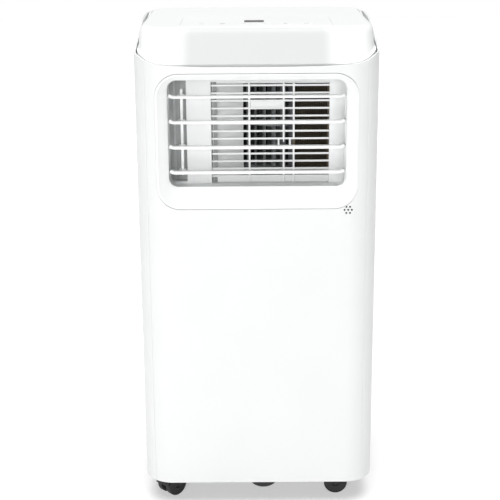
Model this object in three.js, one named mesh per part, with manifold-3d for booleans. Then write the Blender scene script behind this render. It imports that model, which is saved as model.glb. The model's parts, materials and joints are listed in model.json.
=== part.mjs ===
// Portable air conditioner: a white floor-standing cabinet on four twin-wheel casters, with a louvred
// outlet high on the front, a sloping top cover with push buttons, and the cooling circuit inside.
// Millimetres, +Z up, front towards -Y, origin on the floor under the middle of the cabinet.
import * as THREE from 'three';
import { mergeVertices } from 'three/addons/utils/BufferGeometryUtils.js';
import { ConvexGeometry } from 'three/addons/geometries/ConvexGeometry.js';
import Module from 'manifold-3d';

const wasm = await Module();
wasm.setup();

// ---------------------------------------------------------------- driving dimensions
const bodyWidth = 320, bodyDepth = 300, bodyHeight = 664; // outside of the cabinet, casters included
const halfWidth = bodyWidth / 2, front = -bodyDepth / 2, rear = bodyDepth / 2;
const cornerRadius = 40; // vertical edges of the cabinet, in plan
const wall = 2.6; // moulded shell thickness
const bodyBottom = 31.6; // lower edge of the shells above the floor
const partGap = 0.4; // clearance between neighbouring fixed pieces
const panelSplit = 145; // half the width of the front panel
const rearSplit = 121.8; // half the width of the rear panel, with its gap

// The cover is a wedge: its joint with the shells is low at the front and climbs along the sides to the top.
const seam = { gap: 1.2, line: [[-150, 617.5], [-147, 619.2], [-140, 622.5], [-126, 628], [-110, 632.8],
  [-90, 638.4], [-66, 643], [-40, 647.4], [-10, 653.6], [16, 658.6], [34, 660], [160, 660]] };

// Outlet: bezel, opening, louvres
const bezel = { halfWidth: 132, bottom: 430, top: 608.5, radius: 31, lip: 3, face: front, back: front + 12 };
const opening = { halfWidth: 116.2, bottom: 458, top: 599, radius: 12 };
const sleeve = { halfWidth: 116.8, bottom: 452, top: 603, front: bezel.back + partGap, back: -92, wall: 3 };
const louver = { count: 4, lowest: 475, pitch: 33.6, pivotY: -124, chordFront: 12.5, chordRear: 12, thickness: 2.6,
  halfLength: 113.8, pinRadius: 2, tilt: THREE.MathUtils.degToRad(-5) };
const link = { x: -99.5, width: 3.6, depth: 5, arm: 18, pinRadius: 1.5, holeRadius: 2.1, below: 6.8,
  above: 8.8 };
const grille = { left: -61, right: 97, bottom: 452.5, top: 590, front: -91.6, depth: 3.2, bar: 2.4, bars: 13,
  highest: 584.4, pitch: 10.28, ribs: [-10, 36, 49.5], ribWidth: 3 };
const pocket = { left: -116.8, right: -94, back: -66 };

// Fans share one upright shaft
const shaft = { x: 28, y: 0, radius: 4 };
const blower = { radius: 68, blades: 30, bottom: 466, top: 586, ringZ: 556 };
const exhaustFan = { radius: 66, blades: 20, bottom: 262, top: 322 };
const scrollWall = 2.5;

// Rear: filters, exhaust port, drains, cord inlet
const upperFilter = { halfWidth: 110, bottom: 376, top: 612 };
const lowerFilter = { halfWidth: 110, bottom: 66, top: 206 };
const filterDepth = 8, filterBorder = 11;
const port = { z: 292, radius: 73.6, bore: 69, front: 118 };
const middleDrain = { x: 98, z: 262, radius: 9 };
const lowerDrain = { x: 98, z: 53, radius: 7.2 };
const cordInlet = { x: -98, z: 232, radius: 8 };

// Top cover and controls
const cover = { inset: 4, crestFront: -122, crestZ: 656, flatFront: -108 };
const fascia = { halfWidth: 100, front: -103, rear: 8, radius: 8, thickness: 1.8, ledge: 5 };
const buttons = { names: ['power', 'mode', 'cooler', 'warmer', 'fan', 'timer'], pitch: 27.7, middle: -2.8, y: -76, length: 20,
  width: 13, radius: 5, height: 4, clearance: 0.4 };
const display = { left: -15.8, right: 10.2, front: -60, rear: -34, thickness: 1.4 };

// Casters
const caster = { x: 118.5, y: 110, trail: 8.5, wheelRadius: 16.5, wheelWidth: 8.4, webHalf: 4, wellRadius: 28 };
const casterCorners = [
  { tag: 'front_left', x: -1, y: -1, heading: -135 },
  { tag: 'front_right', x: 1, y: -1, heading: 180 },
  { tag: 'rear_left', x: -1, y: 1, heading: 60 },
  { tag: 'rear_right', x: 1, y: 1, heading: 100 },
];
const pan = { bottom: 32.6, floor: 42, top: 64, inset: 3.2, wellTop: 39 };
const deckHole = { x: 138, y: 44 };
const sumpCap = { x: 6.7, y: -124, radius: 18.5, bottom: 17, plugRadius: 10.5 };

// Carrying grips, one in each side panel
const grip = { y: 10, z: 577, halfLength: 54, halfHeight: 18, radius: 14, depth: 24 };

// ---------------------------------------------------------------- finishes
const finish = (color, roughness = 0.5, metalness = 0) =>
  new THREE.MeshStandardMaterial({ color, roughness, metalness });
const shellWhite = finish(0xf3f4f4, 0.35);
const trimWhite = finish(0xf6f7f7, 0.3);
const ductWhite = finish(0xe9ebec, 0.55);
const ductGrey = finish(0x8f9192, 0.6);
const fanBlack = finish(0x1a1b1c, 0.5);
const casterBlack = finish(0x1e1f21, 0.45);
const capGrey = finish(0x55575a, 0.5);
const displayBlack = finish(0x14161a, 0.12);
const boardGreen = finish(0x2f6b3f, 0.5);
const finAluminium = finish(0xb9bdc0, 0.4, 0.9);
const tubeCopper = finish(0xb4693c, 0.35, 1);
const compressorBlack = finish(0x202225, 0.4, 0.3);
const shaftSteel = finish(0xc2c4c6, 0.3, 1);
const trayGrey = finish(0xc9cbcc, 0.6);
const softRubber = finish(0x2b2c2e, 0.85);
const filterMesh = finish(0x6f7375, 0.8);

// ---------------------------------------------------------------- solids
// A closed geometry as a manifold solid, ready to be joined or cut.
function solid(geometry) {
  const bare = geometry.index ? geometry.toNonIndexed() : geometry.clone();
  for (const name of Object.keys(bare.attributes)) if (name !== 'position') bare.deleteAttribute(name);
  const merged = mergeVertices(bare, 1e-4);
  return new wasm.Manifold(new wasm.Mesh({
    numProp: 3,
    vertProperties: new Float32Array(merged.attributes.position.array),
    triVerts: new Uint32Array(merged.index.array),
  }));
}

function geometryOf(shape) {
  const mesh = shape.getMesh();
  const points = new Float32Array(mesh.numVert * 3);
  for (let i = 0; i < mesh.numVert; i++) {
    points.set(mesh.vertProperties.subarray(i * mesh.numProp, i * mesh.numProp + 3), i * 3);
  }
  const geometry = new THREE.BufferGeometry();
  geometry.setAttribute('position', new THREE.BufferAttribute(points, 3));
  geometry.setIndex(new THREE.BufferAttribute(new Uint32Array(mesh.triVerts), 1));
  geometry.computeVertexNormals();
  return geometry;
}

const join = (shapes) => shapes.reduce((whole, shape) => whole.add(shape));
const cut = (shape, cutters) => cutters.reduce((left, cutter) => left.subtract(cutter), shape);

function box(x0, x1, y0, y1, z0, z1) {
  return solid(new THREE.BoxGeometry(x1 - x0, y1 - y0, z1 - z0)
    .translate((x0 + x1) / 2, (y0 + y1) / 2, (z0 + z1) / 2));
}

// A round bar along one axis, from a to b, about the point (u, v) of the other two axes in X, Y, Z order.
function bar(axis, radius, a, b, u, v, sides = 20, turn = 0) {
  const geometry = new THREE.CylinderGeometry(radius, radius, b - a, sides).rotateY(turn);
  const middle = (a + b) / 2;
  if (axis === 'x') geometry.rotateZ(-Math.PI / 2).translate(middle, u, v);
  else if (axis === 'y') geometry.translate(u, middle, v);
  else geometry.rotateX(Math.PI / 2).translate(u, v, middle);
  return solid(geometry);
}

// Points of a rectangle with rounded corners, anticlockwise, with so many steps to a corner.
function roundedOutline(x0, x1, y0, y1, radius, steps = 6) {
  const centres = [[x1 - radius, y1 - radius], [x0 + radius, y1 - radius],
    [x0 + radius, y0 + radius], [x1 - radius, y0 + radius]];
  return centres.flatMap(([cx, cy], corner) => Array.from({ length: steps + 1 }, (_, i) => {
    const angle = (corner + i / steps) * Math.PI / 2;
    return new THREE.Vector2(cx + radius * Math.cos(angle), cy + radius * Math.sin(angle));
  }));
}

function extrude(outline, depth, holes) {
  const shape = new THREE.Shape(outline);
  shape.holes = holes.map((points) => new THREE.Path(points));
  return new THREE.ExtrudeGeometry(shape, { depth, bevelEnabled: false });
}

// Outlines drawn in X-Y, X-Z and Y-Z, and swept along the axis that is left.
const alongZ = (outline, z0, z1, holes = []) =>
  solid(extrude(outline, z1 - z0, holes).translate(0, 0, z0));
const alongY = (outline, y0, y1, holes = []) =>
  solid(extrude(outline, y1 - y0, holes).rotateX(Math.PI / 2).translate(0, y1, 0));
const turnToX = new THREE.Matrix4().set(0, 0, 1, 0, 1, 0, 0, 0, 0, 1, 0, 0, 0, 0, 0, 1);
const alongX = (outline, x0, x1, holes = []) =>
  solid(extrude(outline, x1 - x0, holes).applyMatrix4(turnToX).translate(x0, 0, 0));

const circle = (x, y, radius, sides = 24) => Array.from({ length: sides }, (_, i) => {
  const angle = i / sides * 2 * Math.PI;
  return new THREE.Vector2(x + radius * Math.cos(angle), y + radius * Math.sin(angle));
});

// The plan of the cabinet, set in from its outside, at one height: the rings that a convex shell hangs on.
const planOutline = (inset, frontShift = 0, radius = cornerRadius - inset) =>
  roundedOutline(-halfWidth + inset, halfWidth - inset, front + inset + frontShift, rear - inset, radius, 8);

const root = new THREE.Group();
function add(name, shape, material, parent = root) {
  const mesh = new THREE.Mesh(geometryOf(shape), material);
  mesh.name = name;
  parent.add(mesh);
  return mesh;
}

// ---------------------------------------------------------------- cabinet shells
const seamProfile = (offset, limit) => {
  const line = [[front - 20, seam.line[0][1]], ...seam.line].map(([y, z]) => new THREE.Vector2(y, z + offset));
  const profile = [...line, new THREE.Vector2(rear + 10, limit), new THREE.Vector2(front - 20, limit)];
  return limit > bodyHeight ? profile : profile.reverse();
};
const aboveSeam = alongX(seamProfile(-seam.gap / 2, 720), -200, 200);
const belowSeam = alongX(seamProfile(seam.gap / 2, 560), -200, 200);

const shellRing = alongZ(planOutline(0), bodyBottom, 662, [planOutline(wall).reverse()]).subtract(aboveSeam);

function frontPanel() {
  const blank = shellRing.intersect(box(-panelSplit, panelSplit, front - 5, -100, 0, 700));
  const bezelHole = alongY(roundedOutline(-bezel.halfWidth - partGap, bezel.halfWidth + partGap,
    bezel.bottom - partGap, bezel.top + partGap, bezel.radius + partGap), front - 5, front + 20);
  const sensor = { x: 119.7, z: 428, pitch: 4.8, radius: 1 };
  const centres = [[0, 0], ...[0, 1, 2, 3, 4, 5].map((i) =>
    [Math.cos(i * Math.PI / 3) * sensor.pitch, Math.sin(i * Math.PI / 3) * sensor.pitch])];
  const sensorHoles = centres.map(([dx, dz]) =>
    bar('y', sensor.radius, front - 5, front + 20, sensor.x + dx, sensor.z + dz, 8));
  return cut(blank, [bezelHole, ...sensorHoles]);
}

function sidePanel(side) {
  const half = panelSplit + partGap;
  const blank = cut(shellRing, [
    box(-half, half, front - 5, 0, 0, 700),
    side < 0 ? box(-rearSplit, 200, 0, 200, 0, 700) : box(-200, rearSplit, 0, 200, 0, 700),
    side < 0 ? box(0, 200, -200, 200, 0, 700) : box(-200, 0, -200, 200, 0, 700),
  ]);
  const hole = roundedOutline(grip.y - grip.halfLength - partGap, grip.y + grip.halfLength + partGap,
    grip.z - grip.halfHeight - partGap, grip.z + grip.halfHeight + partGap, grip.radius + partGap, 4);
  return blank.subtract(alongX(hole, side < 0 ? -170 : 140, side < 0 ? -140 : 170));
}

// A lined pocket for the fingers, flush with the side panel.
function gripCup(side) {
  const cup = (inset) => roundedOutline(grip.y - grip.halfLength + inset, grip.y + grip.halfLength - inset,
    grip.z - grip.halfHeight + inset, grip.z + grip.halfHeight - inset, grip.radius - inset, 4);
  const span = (a, b) => side < 0 ? [-b, -a] : [a, b];
  const shell = alongX(cup(0), ...span(halfWidth - grip.depth, halfWidth));
  return shell.subtract(alongX(cup(2.2), ...span(halfWidth - grip.depth + 2.2, halfWidth + 5)));
}

function rearPanel() {
  const half = rearSplit - partGap;
  const blank = shellRing.intersect(box(-half, half, 100, rear + 5, 0, 700));
  const filterHole = (f) => alongY(roundedOutline(-f.halfWidth - partGap, f.halfWidth + partGap,
    f.bottom - partGap, f.top + partGap, 6, 3), 130, rear + 5);
  return cut(blank, [
    filterHole(upperFilter), filterHole(lowerFilter),
    bar('y', port.radius + partGap, 130, rear + 5, 0, port.z, 32),
    bar('y', middleDrain.radius + partGap, 130, rear + 5, middleDrain.x, middleDrain.z, 16),
    bar('y', lowerDrain.radius + partGap, 130, rear + 5, lowerDrain.x, lowerDrain.z, 16),
    bar('y', cordInlet.radius + partGap, 130, rear + 5, cordInlet.x, cordInlet.z, 16),
  ]);
}

// The cover is a convex shell: upright sides, a leaning front face, and a flat top with a soft crest.
function coverHull(inset) {
  const ring = (z, sideInset, frontY, radius) => roundedOutline(-halfWidth + sideInset + inset,
    halfWidth - sideInset - inset, frontY + inset, rear - sideInset - inset, radius - inset, 8)
    .map((p) => new THREE.Vector3(p.x, p.y, z));
  const top = bodyHeight - inset;
  return solid(new ConvexGeometry([
    ...ring(600, cover.inset, front + 1, 38),
    ...ring(618, cover.inset, front + 1, 38),
    ...ring(cover.crestZ - inset, cover.inset + 2, cover.crestFront, 36),
    ...ring(top - 2, cover.inset + 4, cover.crestFront + 7, 34),
    ...ring(top, cover.inset + 9, cover.flatFront + 2, 30),
  ]));
}

function topCover() {
  const shell = coverHull(0).subtract(coverHull(wall)).subtract(belowSeam);
  const recess = alongZ(roundedOutline(-fascia.halfWidth - partGap, fascia.halfWidth + partGap,
    fascia.front - partGap, fascia.rear + partGap, fascia.radius, 4), bodyHeight - fascia.thickness - partGap, 680);
  const throughHole = alongZ(roundedOutline(-fascia.halfWidth + fascia.ledge, fascia.halfWidth - fascia.ledge,
    fascia.front + fascia.ledge, fascia.rear - fascia.ledge, 4, 3), 640, 680);
  const ledge = alongZ(roundedOutline(-fascia.halfWidth - 4, fascia.halfWidth + 4, fascia.front - 2, fascia.rear + 4,
    fascia.radius, 4), bodyHeight - 5, bodyHeight - 2).intersect(coverHull(1));
  // A skirt inside the shells closes the joint.
  const skirtRing = alongZ(planOutline(3.2), 600, 662, [planOutline(9).reverse()]).intersect(coverHull(-4));
  const skirt = cut(skirtRing, [alongX(seamProfile(1.6, 720), -200, 200), alongX(seamProfile(-7, 560), -200, 200)]);
  return cut(join([shell, ledge, skirt]), [recess, throughHole]);
}

// ---------------------------------------------------------------- controls on the cover
const buttonX = (index) => buttons.middle + (index - (buttons.names.length - 1) / 2) * buttons.pitch;
const buttonOutline = (index, grow = 0) => roundedOutline(
  buttonX(index) - buttons.length / 2 - grow, buttonX(index) + buttons.length / 2 + grow,
  buttons.y - buttons.width / 2 - grow, buttons.y + buttons.width / 2 + grow, buttons.radius + grow, 3);

function fasciaPlate() {
  const plate = alongZ(roundedOutline(-fascia.halfWidth, fascia.halfWidth, fascia.front, fascia.rear,
    fascia.radius, 4), bodyHeight - fascia.thickness, bodyHeight);
  const windowHole = box(display.left - 0.3, display.right + 0.3, display.front - 0.3,
    display.rear + 0.3, 650, 670);
  return cut(plate, [windowHole, ...buttons.names.map((_, i) =>
    alongZ(buttonOutline(i, buttons.clearance), 650, 670))]);
}

function buttonCap(index) {
  const cap = alongZ(buttonOutline(index), bodyHeight - buttons.height, bodyHeight);
  return cap.add(bar('z', 2, bodyHeight - buttons.height - 4.5, bodyHeight - buttons.height + 1,
    buttonX(index), buttons.y, 8));
}

// The display board carries one switch under each button.
function displayBoard() {
  const top = bodyHeight - 12;
  const board = box(-88, 88, -92, -6, top - 1.6, top);
  const switches = buttons.names.map((_, i) =>
    box(buttonX(i) - 3, buttonX(i) + 3, buttons.y - 3, buttons.y + 3, top - 0.5, top + 2.2));
  const readout = box(display.left + 1, display.right - 1, display.front + 2, display.rear - 2, top - 0.5, top + 8);
  return join([board, ...switches, readout]);
}

// ---------------------------------------------------------------- air outlet
function ventBezel() {
  const plate = alongY(roundedOutline(-bezel.halfWidth, bezel.halfWidth, bezel.bottom, bezel.top, bezel.radius, 8),
    bezel.face, bezel.back);
  const ring = (halfW, bottom, top, radius, y) => roundedOutline(-halfW, halfW, bottom, top, radius, 8)
    .map((p) => new THREE.Vector3(p.x, y, p.y));
  const ramp = solid(new ConvexGeometry([
    ...ring(bezel.halfWidth - bezel.lip + 1.6, bezel.bottom + 1, bezel.top - bezel.lip + 0.6, bezel.radius - 1,
      bezel.face - 1.2),
    ...ring(opening.halfWidth, opening.bottom, opening.top, opening.radius, bezel.back - 2),
  ]));
  const hole = alongY(roundedOutline(-opening.halfWidth, opening.halfWidth, opening.bottom, opening.top,
    opening.radius, 5), bezel.face - 5, bezel.back + 5);
  return cut(plate, [ramp, hole]);
}

const pivotHoles = [0, 1, 2, 3].map((i) => louver.lowest + i * louver.pitch);

// A sleeve behind the bezel, closed at the back by a plate with the grille window and a deep pocket.
function outletDuct() {
  const s = sleeve;
  const outer = roundedOutline(-s.halfWidth - s.wall, s.halfWidth + s.wall, s.bottom - s.wall, s.top + s.wall, 14, 4);
  const inner = roundedOutline(-s.halfWidth, s.halfWidth, s.bottom, s.top, 11, 4);
  const tube = alongY(outer, s.front, s.back, [inner.reverse()]);
  const plate = alongY(outer, s.back - 4, s.back);
  const pocketBox = box(pocket.left - s.wall, pocket.right + s.wall, s.back - 1, pocket.back, s.bottom, s.top);
  const pocketSpace = box(pocket.left, pocket.right, s.back - 10, pocket.back - s.wall, s.bottom + s.wall,
    s.top - s.wall);
  const pocketRib = box(-109.5, -107.5, s.back - 1, pocket.back - 1, s.bottom + 2, s.top - 2);
  const window = box(grille.left, grille.right, s.back - 10, s.back + 10, grille.bottom, grille.top);
  const curve = new THREE.Shape();
  curve.moveTo(s.halfWidth + 1, s.back - 3.5);
  curve.lineTo(grille.right, s.back - 3.5);
  curve.quadraticCurveTo(s.halfWidth - 1.6, s.back - 5, s.halfWidth - 1.2, s.back - 19);
  curve.lineTo(s.halfWidth + 1, s.back - 19);
  const curvedCheek = alongZ(curve.getPoints(6), s.bottom + 1, s.top - 1);
  const holes = pivotHoles.map((z) => bar('x', louver.pinRadius + 0.5, -130, 130, louver.pivotY, z, 12));
  return cut(join([tube, plate, pocketBox]), [pocketSpace, window]).add(pocketRib)
    .add(curvedCheek.subtract(window)).subtract(join(holes));
}

function guardGrille() {
  const g = grille, y0 = g.front, y1 = g.front + g.depth;
  const rim = box(g.left - 4, g.right + 4, y0, y1, g.bottom - 4, g.top + 4)
    .subtract(box(g.left - 0.5, g.right + 0.5, y0 - 1, y1 + 1, g.bottom - 0.5, g.top + 0.5));
  const bars = Array.from({ length: g.bars }, (_, i) => {
    const z = g.highest - i * g.pitch;
    return box(g.left - 2, g.right + 2, y0 + 0.2, y1 - 0.4, z - g.bar / 2, z + g.bar / 2);
  });
  const ribs = g.ribs.map((x) => box(x - g.ribWidth / 2, x + g.ribWidth / 2, y0 + 0.4, y1 - 0.2,
    g.bottom - 2, g.top + 2));
  return join([rim, ...bars, ...ribs]);
}

// One louvre about its own pivot: a blade with a thick nose, an ear and a pin at each end, a lug for the link.
function louverBlade() {
  const t = louver.thickness / 2;
  const section = [[-louver.chordFront + 0.6, -1.9], [-louver.chordFront + 3, -2], [-louver.chordFront + 6, -t],
    [4, -t], [louver.chordRear, -0.7], [louver.chordRear, 0.7], [4, t], [-louver.chordFront + 6, t],
    [-louver.chordFront + 3, 2], [-louver.chordFront + 0.6, 1.9], [-louver.chordFront, 0]]
    .map(([y, z]) => new THREE.Vector2(y, z));
  const blade = alongX(section, -louver.halfLength, louver.halfLength);
  const ears = [-1, 1].map((side) => bar('x', 4.6, ...(side < 0
    ? [-louver.halfLength - 1.6, -louver.halfLength + 1] : [louver.halfLength - 1, louver.halfLength + 1.6]), 0, 0, 16));
  const pins = [-1, 1].map((side) => bar('x', louver.pinRadius, ...(side < 0
    ? [-sleeve.halfWidth - 2.4, -louver.halfLength] : [louver.halfLength, sleeve.halfWidth + 2.4]), 0, 0, 12));
  const lugRight = link.x - link.width / 2 - 0.5;
  const lug = alongX([[6, -1.3], [link.arm - 1, -2.4], [link.arm + 2, -1.6], [link.arm + 2, 1.6], [link.arm - 1, 2.4],
    [6, 1.3]].map(([y, z]) => new THREE.Vector2(y, z)), lugRight - 2, lugRight);
  const linkPin = bar('x', link.pinRadius, lugRight - 1, link.x + link.width / 2 + 1.2, link.arm, 0, 12);
  return join([blade, ...ears, ...pins, lug, linkPin]);
}

// The upright bar that ties the four louvres, drawn about the lowest link pin.
function louverLink() {
  const height = (louver.count - 1) * louver.pitch;
  const strip = box(link.x - link.width / 2, link.x + link.width / 2, -link.depth / 2, link.depth / 2,
    -link.below, height + link.above);
  return cut(strip, Array.from({ length: louver.count }, (_, i) =>
    bar('x', link.holeRadius, link.x - 5, link.x + 5, 0, i * louver.pitch, 12)));
}

// ---------------------------------------------------------------- fans
// The casing of a fan: a spiral wall about the shaft with a mouth, closed by a plate above and one below.
function scrollCase({ start, sweep, tight, wide, mouth, z0, z1, topHole, bottomHole }) {
  const spiral = (offset) => Array.from({ length: 25 }, (_, i) => {
    const angle = start + sweep * i / 24;
    const radius = tight + (wide - tight) * i / 24 + offset;
    return new THREE.Vector2(shaft.x + radius * Math.cos(angle), shaft.y + radius * Math.sin(angle));
  });
  const turn = (points) => THREE.ShapeUtils.isClockWise(points) ? points.reverse() : points;
  const outer = turn([...spiral(scrollWall), mouth.wide[1], mouth.tight[1]]);
  const inner = turn([...spiral(0), mouth.wide[0], mouth.tight[0]]);
  const wallSolid = alongZ(outer, z0, z1).subtract(alongZ(inner, z0 + scrollWall, z1 - scrollWall));
  return cut(wallSolid, [
    bar('z', topHole, z1 - 6, z1 + 5, shaft.x, shaft.y, 28),
    bar('z', bottomHole, z0 - 5, z0 + 6, shaft.x, shaft.y, 28),
  ]);
}

const vec = (x, y) => new THREE.Vector2(x, y);

function blowerCase() {
  const y = grille.front + grille.depth + partGap;
  return scrollCase({
    start: THREE.MathUtils.degToRad(231.5), sweep: THREE.MathUtils.degToRad(-226.5), tight: 76, wide: 88,
    mouth: { wide: [vec(97, y - 5), vec(97 + scrollWall, y)], tight: [vec(-58, y - 5), vec(-58 - scrollWall, y)] },
    z0: 449, z1: 600, topHole: 52, bottomHole: 50,
  }).subtract(box(-200, 200, -200, y, 400, 700));
}

function exhaustCase() {
  const y = port.front - 20;
  return scrollCase({
    start: THREE.MathUtils.degToRad(60), sweep: THREE.MathUtils.degToRad(-232), tight: 74, wide: 92,
    mouth: { wide: [vec(-60, y + 5), vec(-60 - scrollWall, y)], tight: [vec(64, y + 5), vec(64 + scrollWall, y)] },
    z0: 252, z1: 339.6, topHole: 9, bottomHole: 50,
  }).subtract(box(-200, 200, y, 200, 200, 400));
}

// A squirrel-cage wheel: slanted blades between rings, closed at one end by a plate on a hub.
function cageWheel({ radius, blades, bottom, top, plateZ, rings }) {
  const bladeDepth = 11, bladeThickness = 1.4, slant = 0.5;
  const { x, y } = shaft;
  const vanes = Array.from({ length: blades }, (_, i) => solid(
    new THREE.BoxGeometry(bladeDepth, bladeThickness, top - bottom - 2)
      .rotateZ(slant).translate(radius - bladeDepth / 2 - 0.8, 0, (top + bottom) / 2)
      .rotateZ(i / blades * 2 * Math.PI).translate(x, y, 0)));
  const hoops = rings.map(([z0, z1]) => alongZ(circle(x, y, radius, 40), z0, z1,
    [circle(x, y, radius - bladeDepth - 1, 30).reverse()]));
  const hub = bar('z', 12, ...plateZ, x, y, 20);
  const plate = bar('z', radius, plateZ[0], plateZ[0] + 2.5, x, y, 40);
  const nearTop = plateZ[0] > (top + bottom) / 2;
  const disc = nearTop ? bar('z', radius, top - 2.5, top, x, y, 40) : plate;
  return join([...vanes, ...hoops, hub, disc]).subtract(bar('z', shaft.radius + 0.3, 200, 620, x, y, 16));
}

function fanMotor() {
  const { x, y } = shaft;
  const body = bar('z', 42, 354, 430, x, y, 28);
  const foot = bar('z', 52, 350.4, 356, x, y, 28);
  const neck = bar('z', 14, 428, 438, x, y, 16);
  return join([body, foot, neck]).subtract(bar('z', shaft.radius + 0.5, 300, 450, x, y, 16));
}

// ---------------------------------------------------------------- refrigeration circuit
function compressor() {
  const { x, y } = compressorPlace;
  const can = new THREE.LatheGeometry([[0, 0], [40, 0], [45, 6], [45, 168], [40, 178], [20, 184], [0, 184]]
    .map(([r, z]) => new THREE.Vector2(r, z)), 28).rotateX(Math.PI / 2);
  const shell = solid(can.translate(x, y, 58));
  const base = alongZ(circle(x, y, 74, 3), 54, 59);
  return cut(join([shell, base]), compressorFeet.map(([fx, fy]) => bar('z', 5, 40, 70, fx, fy, 12)));
}
const compressorPlace = { x: -72, y: -52 }, accumulatorPlace = { x: 34, y: -96 };
const compressorFeet = [0, 1, 2].map((i) => {
  const angle = i * 2 * Math.PI / 3;
  return [compressorPlace.x + 58 * Math.cos(angle), compressorPlace.y + 58 * Math.sin(angle)];
});

// A rubber foot under the compressor's base plate, with a neck through the plate.
function compressorFoot([x, y]) {
  return join([bar('z', 10, pan.floor + 0.4, 53.6, x, y, 16), bar('z', 4.4, 50, 64, x, y, 12),
    bar('z', 7.5, 59.4, 64, x, y, 12)]);
}

function pipe(points, radius, steps) {
  const section = new THREE.Shape(circle(0, 0, radius, 8));
  const path = new THREE.CatmullRomCurve3(points.map((p) => new THREE.Vector3(...p)), false, 'centripetal');
  return solid(new THREE.ExtrudeGeometry(section, { steps, extrudePath: path, bevelEnabled: false }));
}

// A block of fins with its tube bends standing proud at both ends.
function coil(halfLength, y0, y1, z0, z1, rows) {
  const block = box(-halfLength, halfLength, y0, y1, z0, z1);
  const bends = [-1, 1].flatMap((side) => Array.from({ length: rows }, (_, i) => {
    const z = z0 + (i + 0.5) * (z1 - z0) / rows;
    const x0 = side < 0 ? -halfLength - 6 : halfLength - 1;
    return box(x0, x0 + 7, (y0 + y1) / 2 - 9, (y0 + y1) / 2 + 9, z - 4, z + 4);
  }));
  return join([block, ...bends]);
}

// ---------------------------------------------------------------- rear fittings
// A pull-off frame with two columns of slots, the filter cloth held behind them.
function filterFrame(f) {
  const y0 = rear - 0.5 - filterDepth, y1 = rear - 0.5;
  const frame = alongY(roundedOutline(-f.halfWidth, f.halfWidth, f.bottom, f.top, 5.6, 3), y0, y1);
  const pitch = 12, slot = 7, rows = Math.floor((f.top - f.bottom - 2 * filterBorder) / pitch);
  const first = (f.top + f.bottom - (rows - 1) * pitch) / 2;
  const inside = f.halfWidth - filterBorder;
  const slots = Array.from({ length: rows }, (_, i) => [[-inside, -4], [4, inside]].map(([x0, x1]) =>
    box(x0, x1, y0 - 1, y1 + 1, first + i * pitch - slot / 2, first + i * pitch + slot / 2))).flat();
  const fingerNotch = box(-18, 18, y1 - 4, y1 + 1, f.top - 8, f.top + 1);
  const clothBed = box(-inside - 3, inside + 3, y0 - 1, y0 + 2, first - slot, first + (rows - 1) * pitch + slot);
  return cut(frame, [...slots, fingerNotch, clothBed]);
}

function filterCloth(f) {
  const y0 = rear - 0.5 - filterDepth, pitch = 12;
  const rows = Math.floor((f.top - f.bottom - 2 * filterBorder) / pitch);
  const half = (rows - 1) * pitch / 2 + 6.5, middle = (f.top + f.bottom) / 2;
  const inside = f.halfWidth - filterBorder + 2.5;
  return box(-inside, inside, y0 + 0.4, y0 + 1.6, middle - half, middle + half);
}

function exhaustCollar() {
  const ring = alongY(circle(0, port.z, port.radius, 40), port.front, rear,
    [circle(0, port.z, port.bore, 40).reverse()]);
  const lugs = [45, 135, 225, 315].map((degrees) => {
    const a = THREE.MathUtils.degToRad(degrees);
    return solid(new THREE.BoxGeometry(7, 3, 16).rotateY(-a)
      .translate(Math.cos(a) * (port.bore - 1.5), rear - 6, port.z + Math.sin(a) * (port.bore - 1.5)));
  });
  return join([ring, ...lugs]);
}

function exhaustGrille() {
  const r = port.bore + 0.8, y0 = port.front + 1, y1 = port.front + 4;
  const rim = alongY(circle(0, port.z, r, 40), y0, y1, [circle(0, port.z, r - 4, 32).reverse()]);
  const disc = bar('y', r - 2, y0 + 0.2, y1 - 0.2, 0, port.z, 32);
  const bars = [-5, -4, -3, -2, -1, 0, 1, 2, 3, 4, 5].map((i) =>
    box(-r, r, y0, y1, port.z + i * 11 - 1.3, port.z + i * 11 + 1.3));
  const stem = box(-1.5, 1.5, y0, y1, port.z - r, port.z + r);
  return join([rim, join([...bars, stem]).intersect(disc)]);
}

function drainPlug({ x, z, radius }) {
  const stem = bar('y', radius - 0.8, rear - 12, rear - 2, x, z, 16);
  const head = bar('y', radius, rear - 3, rear - 0.6, x, z, 16);
  const tab = box(x - 1.5, x + 1.5, rear - 1, rear - 0.05, z - radius + 2, z + radius - 2);
  return join([stem, head, tab]);
}

function cordGland({ x, z, radius }) {
  const flange = bar('y', radius, rear - 6, rear - 0.4, x, z, 16);
  const collar = bar('y', radius + 3, rear - 14, rear - wall - partGap, x, z, 16);
  return join([flange, collar]).subtract(bar('y', 3.6, rear - 20, rear + 5, x, z, 12));
}

// ---------------------------------------------------------------- base and casters
const casterPlaces = casterCorners.map((c) => [c.x * caster.x, c.y * caster.y]);

function basePan() {
  const tray = alongZ(planOutline(pan.inset), pan.bottom, pan.top)
    .subtract(alongZ(planOutline(pan.inset + 3), pan.floor, pan.top + 5));
  const bosses = casterPlaces.map(([x, y]) => bar('z', 9, pan.wellTop + 1, pan.top - 2, x, y, 16));
  const wells = casterPlaces.map(([x, y]) => bar('z', caster.wellRadius, pan.bottom - 5, pan.wellTop, x, y, 28));
  const sockets = casterPlaces.map(([x, y]) => bar('z', 4.6, pan.bottom, pan.top - 5, x, y, 16));
  const drain = bar('z', sumpCap.plugRadius + 0.5, pan.bottom - 5, pan.floor + 5, sumpCap.x, sumpCap.y, 20);
  const drainHole = bar('y', lowerDrain.radius + 0.5, 130, 160, lowerDrain.x, lowerDrain.z, 16);
  return cut(join([tray, ...bosses]), [...wells, ...sockets, drain, drainHole]);
}

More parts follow.
